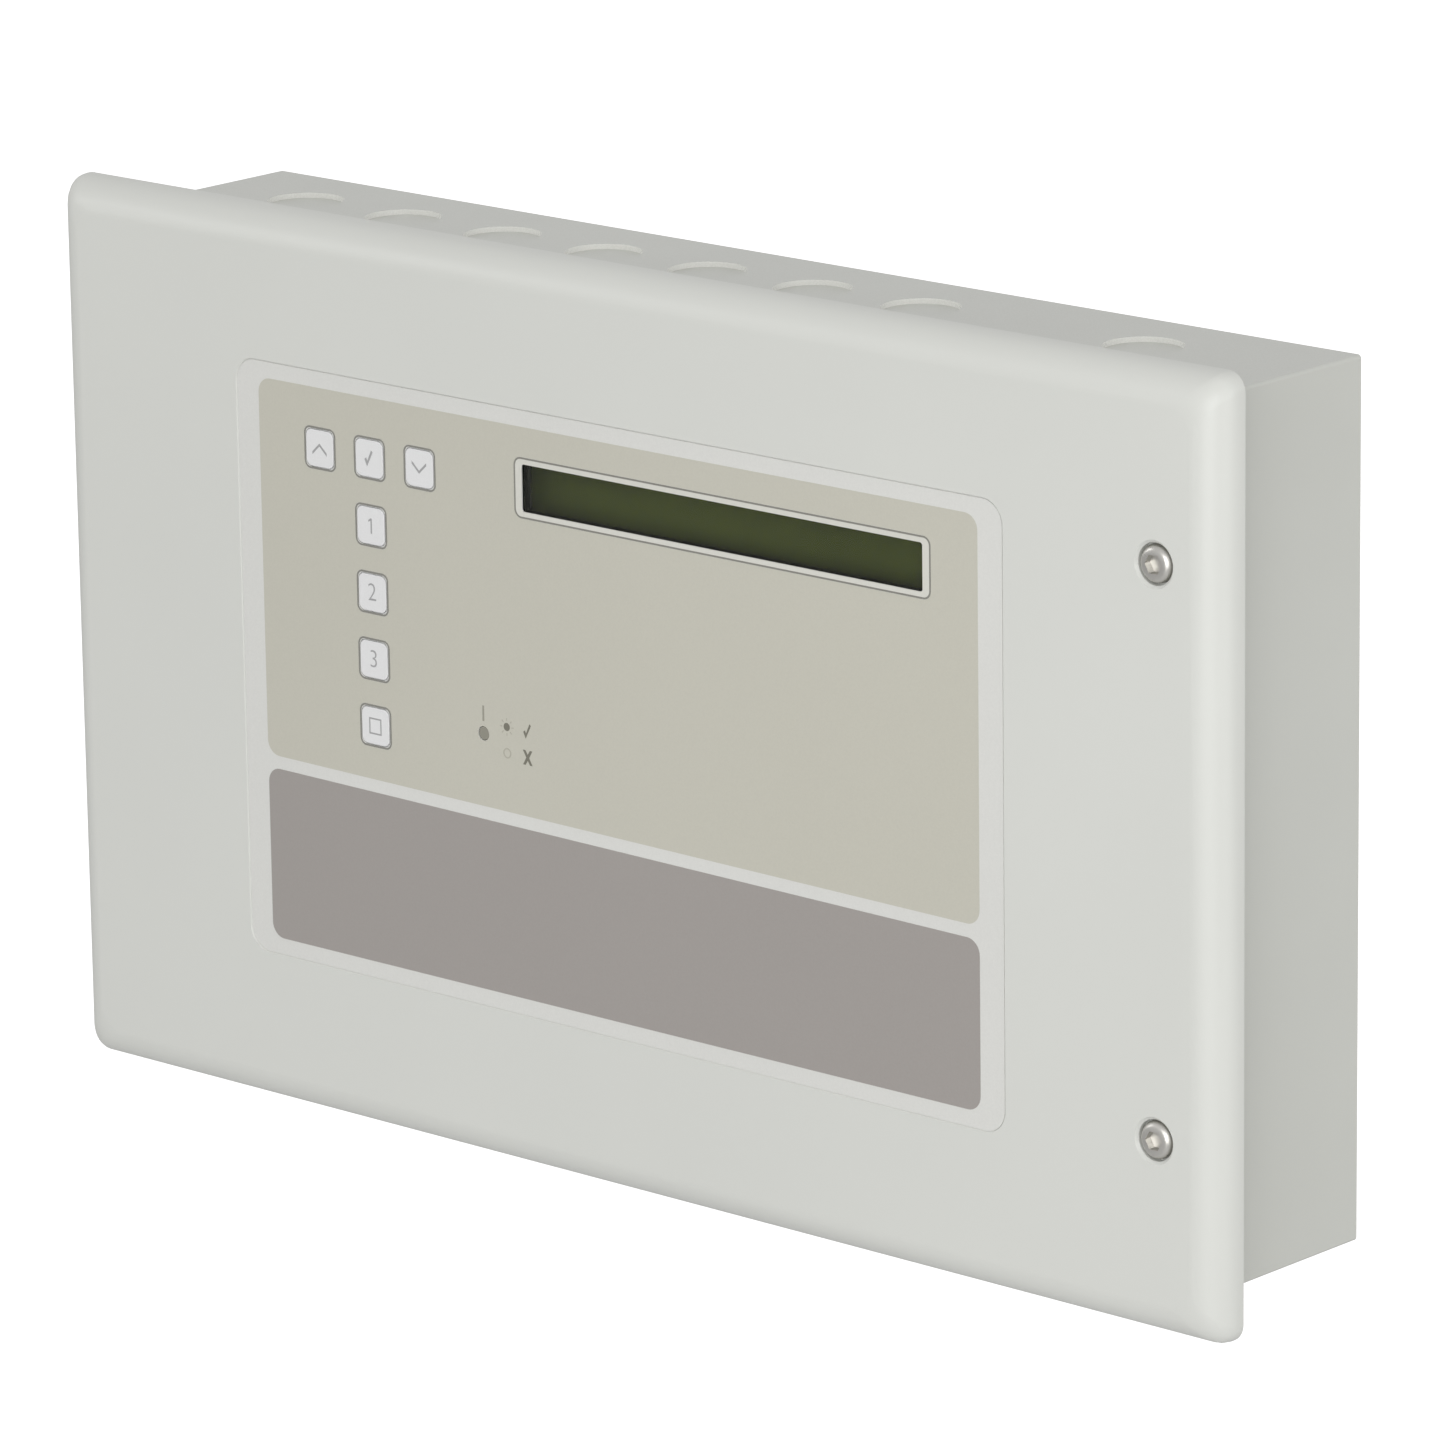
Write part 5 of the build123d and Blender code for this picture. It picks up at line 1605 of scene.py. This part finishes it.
@dataclass
class ProcessorLeads:
    """The leads on the four sides of a processor package."""

    node: str
    way: int
    count: int = 14
    corner_space: float = 3 * MM

    def build(self) -> None:
        """Sets the leads in rows on each side."""
        low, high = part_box(self.node)
        face = high[1] if self.way < 0 else low[1]
        rise = self.way * (high[1] - low[1]) / 2
        width = high[0] - low[0]
        x, z = centre_of(self.node)
        pitch = (width - self.corner_space) / (self.count - 1)
        shape = bmesh.new()
        for step in range(self.count):
            shift = (step - (self.count - 1) / 2) * pitch
            for side in (-1, 1):
                gull_wing(shape, (x + side * width / 2, face, z + shift), (side, 0.0), rise)
                gull_wing(shape, (x + shift, face, z + side * width / 2), (0.0, side), rise)
        finish_piece(f"{self.node}_leads", shape, TINNED, body_of_node(self.node))


@dataclass
class HeaderPins:
    """Gold-plated sleeves over the pins of a shrouded header."""

    node: str
    way: int
    pitch: float = 2.54 * MM
    columns: int = 10
    rows: int = 2
    floor: float = 2.0 * MM
    short: float = 0.95 * MM
    width: float = 0.7 * MM
    crease: float = 20.0

    def build(self) -> None:
        """Sets the pins in their rows."""
        low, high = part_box(self.node)
        x, z = centre_of(self.node)
        start = low[1] + (self.short if self.way < 0 else self.floor)
        end = high[1] - (self.floor if self.way < 0 else self.short)
        shape = bmesh.new()
        for column in range(self.columns):
            for row in range(self.rows):
                across = (column - (self.columns - 1) / 2) * self.pitch
                up = (row - (self.rows - 1) / 2) * self.pitch
                block(shape, (x + across, (start + end) / 2, z + up),
                      (self.width, end - start, self.width))
        finish_piece(f"{self.node}_pins", shape, GOLD, body_of_node(self.node),
                     self.crease)


@dataclass
class TerminalScrews:
    """Slotted screws in the wells of a terminal strip."""

    node: str
    spots: list[Spot]
    radius: float
    sunk: float
    head_share: float = 0.7

    def build(self) -> None:
        """Sets a screw in each well, each turned its own way."""
        foot_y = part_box(self.node)[0][1] + self.sunk
        head_t = self.sunk * self.head_share
        chooser = random.Random(len(self.spots))
        shape = bmesh.new()
        for x, z in self.spots:
            foot = Vector((x, foot_y, z))
            join(shape, slotted_head(foot, self.radius, head_t, chooser.uniform(0, 180)))
        finish_piece(f"{self.node}_screws", shape, ZINC, body_of_node(self.node))


@dataclass
class CapacitorDetail:
    """Scored metal tops and printed stripes on the smoothing capacitors."""

    large_r: float = 9.0 * MM
    small_r: float = 5.0 * MM
    small_length: float = 16.0 * MM
    small_pitch: float = 14 * MM
    lip: float = 1.1 * MM
    top_t: float = 0.1 * MM
    score_w: float = 0.35 * MM
    score_share: float = 1.3
    score_t: tuple[float, float] = (0.06 * MM, 0.061 * MM)
    stripe_t: float = 0.03 * MM
    stripe_lift: float = 0.02 * MM
    stripe_start: float = 1.2 * MM
    stripe_end: float = 0.5 * MM
    stripe_angle: float = 44.0
    stripe_steps: int = 8
    small_count: int = 3
    sides: int = 32

    def build(self) -> None:
        """Adds a top, its score marks and a stripe to each capacitor."""
        low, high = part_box("capacitors")
        large_x, small_x = high[0] - self.large_r, low[0] + self.small_r
        small_top = high[1] - self.small_length
        cans = [(large_x, low[2] + self.large_r, self.large_r, low[1]),
                (large_x, high[2] - self.large_r, self.large_r, low[1])]
        cans += [(small_x, low[2] + self.small_r + step * self.small_pitch, self.small_r, small_top)
                 for step in range(self.small_count)]
        tops, scores, stripes = bmesh.new(), bmesh.new(), bmesh.new()
        for x, z, radius, top in cans:
            self.top(tops, scores, Vector((x, top, z)), radius - self.lip)
            self.stripe(stripes, Vector((x, top, z)), radius, high[1] - top)
        body = body_of_node("capacitors")
        finish_piece("capacitor_tops", tops, CAN_TOP, body)
        finish_piece("capacitor_scores", scores, BLACK_CASE, body)
        finish_piece("capacitor_stripes", stripes, STRIPE_GREY, body)

    def top(self, tops: Shape, scores: Shape, centre: Vector, radius: float) -> None:
        """Adds a thin disc with two crossing score marks.

        Args:
            tops: The bmesh that holds the discs.
            scores: The bmesh that holds the marks.
            centre: Centre of the capacitor's top.
            radius: The disc's radius.
        """
        disc = bmesh.new()
        circle(disc, centre, radius, self.sides, True)
        push_out(disc, disc.faces[:], self.top_t)
        join(tops, disc)
        level = centre - Vector((0, self.top_t, 0))
        long, (level_t, upright_t) = radius * self.score_share, self.score_t
        block(scores, level, (long, level_t, self.score_w))
        block(scores, level, (self.score_w, upright_t, long))

    def stripe(self, shape: Shape, centre: Vector, radius: float, length: float) -> None:
        """Adds a printed stripe down the side of a sleeve.

        Args:
            shape: The bmesh that holds the stripes.
            centre: Centre of the capacitor's top.
            radius: The sleeve's radius.
            length: The sleeve's length.
        """
        strip = bmesh.new()
        ends = [strip.verts.new(centre + Vector((0, along, radius + self.stripe_lift)))
                for along in (self.stripe_start, length - self.stripe_end)]
        line = strip.edges.new(ends)
        bmesh.ops.spin(
            strip, geom=ends + [line], cent=centre, axis=(0, 1, 0), dvec=(0, 0, 0),
            angle=math.radians(self.stripe_angle), steps=self.stripe_steps, use_merge=False,
            use_duplicate=False,
        )
        bmesh.ops.recalc_face_normals(strip, faces=strip.faces)
        bmesh.ops.solidify(strip, geom=strip.faces[:], thickness=self.stripe_t)
        join(shape, strip)


@dataclass
class BatteryDetail:
    """A blank label and the coloured collars of the battery's tabs."""

    label_w: float = 62.0 * MM
    label_h: float = 34.0 * MM
    label_t: float = 0.1 * MM
    label_r: float = 2.0 * MM
    label_up_share: float = 0.44
    collar: float = 9.0 * MM
    collar_t: float = 0.8 * MM
    collar_r: float = 1.5 * MM
    collar_steps: int = 4
    tab_inset: float = 14.0 * MM

    def build(self) -> None:
        """Adds the label on the front and a collar round each tab."""
        low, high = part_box("battery")
        x, z = centre_of("battery")[0], low[2] + (high[2] - low[2]) * self.label_up_share
        body = body_of_node("battery")
        sheet = bmesh.new()
        round_loop(sheet, rectangle(x, z, self.label_w, self.label_h), self.label_r, low[1])
        fill_and_thicken(sheet, self.label_t)
        finish_piece("battery_blank_label", sheet, BLANK_LABEL, body)
        out = (high[0] - low[0]) / 2 - self.tab_inset
        middle = (low[1] + high[1]) / 2
        for name, collar_x, finish in (("battery_collar_left", x - out, TERMINAL_RED),
                                       ("battery_collar_right", x + out, BLACK_CASE)):
            shape = bmesh.new()
            block(shape, (collar_x, middle, high[2] + self.collar_t / 2),
                  (self.collar, self.collar, self.collar_t))
            upright = [edge for edge in shape.edges
                       if abs(edge.verts[0].co.z - edge.verts[1].co.z) > self.collar_t / 2]
            round_edges(shape, upright, self.collar_r, self.collar_steps)
            finish_piece(name, shape, finish, body)


@dataclass
class SinkTransistors:
    """Two power transistors fixed under the heat sink's web."""

    size: tuple[float, float, float] = (10.0 * MM, 9.0 * MM, 4.4 * MM)
    tab: tuple[float, float, float] = (10.0 * MM, 15.5 * MM, 1.3 * MM)
    leg: tuple[float, float, float] = (0.8 * MM, 4.0 * MM, 0.5 * MM)
    leg_pitch: float = 2.54 * MM
    leg_drop: float = 2.6 * MM
    body_drop: float = 0.2 * MM
    tab_drop: float = 0.05 * MM
    edge: float = 0.3 * MM
    edge_steps: int = 2
    spread: float = 9.0 * MM

    def build(self) -> None:
        """Adds the moulded bodies, the metal tabs and the legs."""
        low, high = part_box("heat_sink")
        board, web = high[1], low[2]
        foot = board - self.leg[1]
        bodies, metal = bmesh.new(), bmesh.new()
        for side in (-1, 1):
            x = centre_of("heat_sink")[0] + side * self.spread
            for shape, size, drop in ((metal, self.tab, self.tab_drop),
                                      (bodies, self.size, self.body_drop)):
                block(shape, (x, foot - size[1] / 2, web - size[2] / 2 - drop), size)
            for leg in (-1, 0, 1):
                place = (x + leg * self.leg_pitch, board - self.leg[1] / 2, web - self.leg_drop)
                block(metal, place, self.leg)
        round_edges(bodies, bodies.edges[:], self.edge, self.edge_steps)
        body = body_of_node("heat_sink")
        finish_piece("power_transistor_bodies", bodies, BLACK_CASE, body)
        finish_piece("power_transistor_tabs", metal, TINNED, body)


# ------------------------------------------------------------------ sub-assemblies
@dataclass
class LidScrew:
    """A button-headed screw with a hexagon socket and a rolled thread."""

    node: str
    shank_r: float = 2.5 * MM
    thread_depth: float = 0.3 * MM
    pitch: float = 0.8 * MM
    crest: float = 0.02 * MM
    plain_below_head: float = 1.0 * MM
    plain_tip: float = 0.5 * MM
    head_t: float = 2.4 * MM
    head_edge: float = 0.45 * MM
    rim_share: float = 1.3
    socket_af: float = 4.4 * MM
    socket_depth: float = 2.0 * MM
    socket_point: float = 0.25 * MM
    dome_steps: int = 6
    crease: float = 38.0

    def build(self) -> None:
        """Spins the screw about its own axis and sinks the socket in its head."""
        low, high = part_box(self.node)
        x, z = centre_of(self.node)
        centre = Vector((x, 0.0, z))
        outline = self.outline(low[1], high[1], (high[0] - low[0]) / 2)
        points = [centre + Vector((radius, y, 0.0)) for radius, y in outline]
        shape = bmesh.new()
        spin_round(shape, points, False, centre, (0, 1, 0))
        bmesh.ops.remove_doubles(shape, verts=shape.verts, dist=TINY)
        self.socket(shape, centre)
        body = body_of_node(self.node)
        piece = finish_piece(f"{self.node}_turned", shape, STAINLESS, body, self.crease)
        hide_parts(self.node)

    def outline(self, front: float, tip: float, head_r: float) -> list[Spot]:
        """The half outline from the socket's rim over the head to the tip.

        Args:
            front: The head's front along Y.
            tip: The tip along Y.
            head_r: The head's radius.

        Returns:
            Points (radius, y).
        """
        rim = self.socket_af / 2 * self.rim_share
        seat = front + self.head_t
        points = []
        for step in range(self.dome_steps + 1):
            angle = step / self.dome_steps * math.pi / 2
            drop = (self.head_t - self.head_edge) * (1 - math.cos(angle))
            points.append((rim + (head_r - rim) * math.sin(angle), front + drop))
        turns = int((tip - seat - self.plain_below_head) / self.pitch)
        start = tip - self.plain_tip - turns * self.pitch
        points += [(head_r, seat), (self.shank_r, seat), (self.shank_r, start)]
        root = self.shank_r - self.thread_depth
        for turn in range(turns):
            points.append((root, start + (turn + 0.5) * self.pitch))
            points.append((self.shank_r - self.crest, start + (turn + 1) * self.pitch))
        return points + [(root, tip), (0.0, tip)]

    def socket(self, shape: Shape, centre: Vector) -> None:
        """Shapes the open rim into a hexagon and draws it down to a pointed floor.

        Args:
            shape: The spun screw, open at its rim.
            centre: A point on its axis.
        """
        rim = [edge for edge in shape.edges if edge.is_boundary]
        corner = math.tau / 6
        for vert in {vert for edge in rim for vert in edge.verts}:
            away = vert.co - centre
            angle = math.atan2(away.z, away.x)
            reach = self.socket_af / 2 / math.cos((angle % corner) - corner / 2)
            vert.co.x = centre.x + reach * math.cos(angle)
            vert.co.z = centre.z + reach * math.sin(angle)
        made = bmesh.ops.extrude_edge_only(shape, edges=rim)
        bmesh.ops.translate(shape, vec=(0, self.socket_depth, 0), verts=moved_verts(made))
        floor = [item for item in made["geom"] if isinstance(item, bmesh.types.BMEdge)
                 and item.is_boundary]
        filled = bmesh.ops.edgenet_fill(shape, edges=floor)["faces"]
        point = bmesh.ops.poke(shape, faces=filled)["verts"]
        bmesh.ops.translate(shape, vec=(0, self.socket_point, 0), verts=point)


@dataclass
class LidFront:
    """The lid moulding and what shows on its face."""

    def build(self) -> None:
        """Dresses the lid, keys, window, lamp and lid screws."""
        refined("lid", LID_PLASTIC)
        for node in KEY_NODES:
            refined(node, KEY_WHITE)
        dress("display_window", WINDOW_CLEAR)
        refined("status_light_pipe", LAMP_SMOKE)
        for number in (1, 2):
            LidScrew(f"lid_screw_{number}").build()
            refined(f"screw_retainer_{number}", NYLON)


@dataclass
class LidElectronics:
    """The display, its board and the parts on it."""

    def build(self) -> None:
        """Dresses the boards, the display module and the small parts."""
        # the gasket's dark olive tone is partly painted shade of the recess
        dress("display_gasket", FOAM_AND_SHADE_DARK)
        dress("display_glass", DISPLAY_DARK)
        refined("display_frame", ZINC, 0.15 * MM)
        dress("display_backlight", NYLON)
        dress("display_module_board", BOARD_GREEN)
        dress("display_board", BOARD_GREEN)
        refined("display_board_screws", ZINC)
        refined("status_lamp", LAMP_SMOKE)
        for node in ("key_switches", "display_processor", "display_header"):
            refined(node, BLACK_CASE, 0.1 * MM)
        refined("sounder", BLACK_CASE, 0.3 * MM)
        ProcessorLeads("display_processor", 1, 10).build()
        HeaderPins("display_header", 1).build()
        BoardParts("display_board", 1, ("display_processor", "display_header", "sounder"),
                   "display_board_screws", 11).build()


@dataclass
class BackBox:
    """The steel box, its hinges and its screw inserts."""

    entries: int = 9
    entry_missing: int = 7
    entry_first: float = -146.5 * MM
    entry_pitch: float = 34.9 * MM
    entry_height: float = 24.0 * MM
    rim_r: float = 9.99 * MM
    rim_crease: float = 50.0
    rim_profile: tuple[Spot, ...] = (
        (0.0, -1.4 * MM), (0.0, -0.12 * MM), (0.1 * MM, 0.0), (-0.05 * MM, -0.1 * MM),
        (-0.12 * MM, -1.4 * MM),
    )

    def build(self) -> None:
        """Dresses the box and its metalwork."""
        refined("back_box", BOX_PAINT, 0.25 * MM)
        refined("hinge_leaves", BOX_PAINT, 0.15 * MM)
        refined("hinge_pins", PIN_STEEL, 0.15 * MM)
        refined("screw_inserts", ZINC, 0.1 * MM)
        self.entry_rim_highlights()

    def entry_rim_highlights(self) -> None:
        """A ring of painted highlight, paint much lighter than the box's, on the wall round each
        pressed-in cable entry.

        The profile's points are distances out from the entry's wall and up from the box's top.
        """
        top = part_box("back_box")[1][2]
        shape = bmesh.new()
        for place in range(self.entries):
            if place == self.entry_missing:
                continue
            centre = Vector((self.entry_first + place * self.entry_pitch, -self.entry_height, 0.0))
            ring = bmesh.new()
            points = [centre + Vector((self.rim_r + out, 0.0, top + up)) for out, up in self.rim_profile]
            spin_round(ring, points, True, centre, (0, 0, 1))
            join(shape, ring)
        # the rings carry painted highlight on the entries' far walls
        finish_piece("entry_rim_highlights", shape, BOX_PAINTED_HIGHLIGHT, "root", self.rim_crease)


@dataclass
class MainBoard:
    """The main board in the box and the parts on it."""

    ways: int = 12
    pitch: float = 5.08 * MM
    screw_r: float = 1.7 * MM
    screw_sunk: float = 1.6 * MM

    def build(self) -> None:
        """Dresses the board and its parts."""
        dress("main_board", BOARD_GREEN)
        refined("board_pillars", ZINC, 0.1 * MM)
        refined("main_board_screws", ZINC)
        refined("field_terminals", GREEN_BLOCK, 0.2 * MM)
        refined("capacitors", SLEEVE_BLUE)
        refined("relays", BLACK_CASE, 0.2 * MM)
        refined("heat_sink", ALUMINIUM, 0.1 * MM)
        refined("main_processor", BLACK_CASE, 0.1 * MM)
        refined("main_header", BLACK_CASE, 0.1 * MM)
        ProcessorLeads("main_processor", -1).build()
        HeaderPins("main_header", -1).build()
        SinkTransistors().build()
        CapacitorDetail().build()
        self.terminal_screws()
        BoardParts("main_board", -1, ("main_processor", "main_header", "heat_sink", "capacitors",
                                      "relays", "field_terminals"), "main_board_screws", 5).build()

    def terminal_screws(self) -> None:
        """The screws of the two field terminal strips."""
        low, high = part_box("field_terminals")
        row_z = centre_of("field_terminals")[1]
        starts = (low[0], high[0] - self.ways * self.pitch)
        spots = [(start + (way + 0.5) * self.pitch, row_z) for start in starts
                 for way in range(self.ways)]
        TerminalScrews("field_terminals", spots, self.screw_r, self.screw_sunk).build()


@dataclass
class PowerSupply:
    """The battery, the transformer and the mains parts."""

    screw_r: float = 2.2 * MM
    screw_sunk: float = 2.6 * MM

    def build(self) -> None:
        """Dresses the battery, the transformer and the mains parts."""
        refined("battery", BATTERY_GREY, 0.4 * MM)
        dress("battery_tabs", TINNED)
        refined("battery_clamp", ZINC, 0.2 * MM)
        refined("transformer_core", CORE_LAMINATES, 0.3 * MM)
        refined("transformer_coil", COIL_TAPE, 0.8 * MM)
        refined("transformer_rails", NYLON, 0.3 * MM)
        refined("transformer_strap", ZINC, 0.2 * MM)
        refined("wall_studs", ZINC)
        refined("stud_nuts", ZINC, 0.15 * MM)
        dress("earth_tag", TINNED)
        refined("mains_terminals", NYLON, 0.2 * MM)
        refined("fuse_block", BLACK_CASE, 0.2 * MM)
        refined("mains_fuse", FUSE_WHITE, 0.3 * MM)
        BatteryDetail().build()
        self.terminal_screws()

    def terminal_screws(self) -> None:
        """The screws of the mains terminals, in three columns and two rows."""
        low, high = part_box("mains_terminals")
        x, z = centre_of("mains_terminals")
        wide, tall = (high[0] - low[0]) / 3, (high[2] - low[2]) / 4
        spots = [(x + column * wide, z + row * tall) for column in (-1, 0, 1) for row in (-1, 1)]
        TerminalScrews("mains_terminals", spots, self.screw_r, self.screw_sunk).build()


def main() -> None:
    """Builds the classes in order."""
    logging.basicConfig(level=logging.INFO, format="%(name)s %(message)s")
    for assembly in (Room(), LidFront(), Label(), LidElectronics(), BackBox(), MainBoard(),
                     PowerSupply()):
        LOG.info("building %s", type(assembly).__name__)
        assembly.build()


if __name__ == "__main__":
    main()
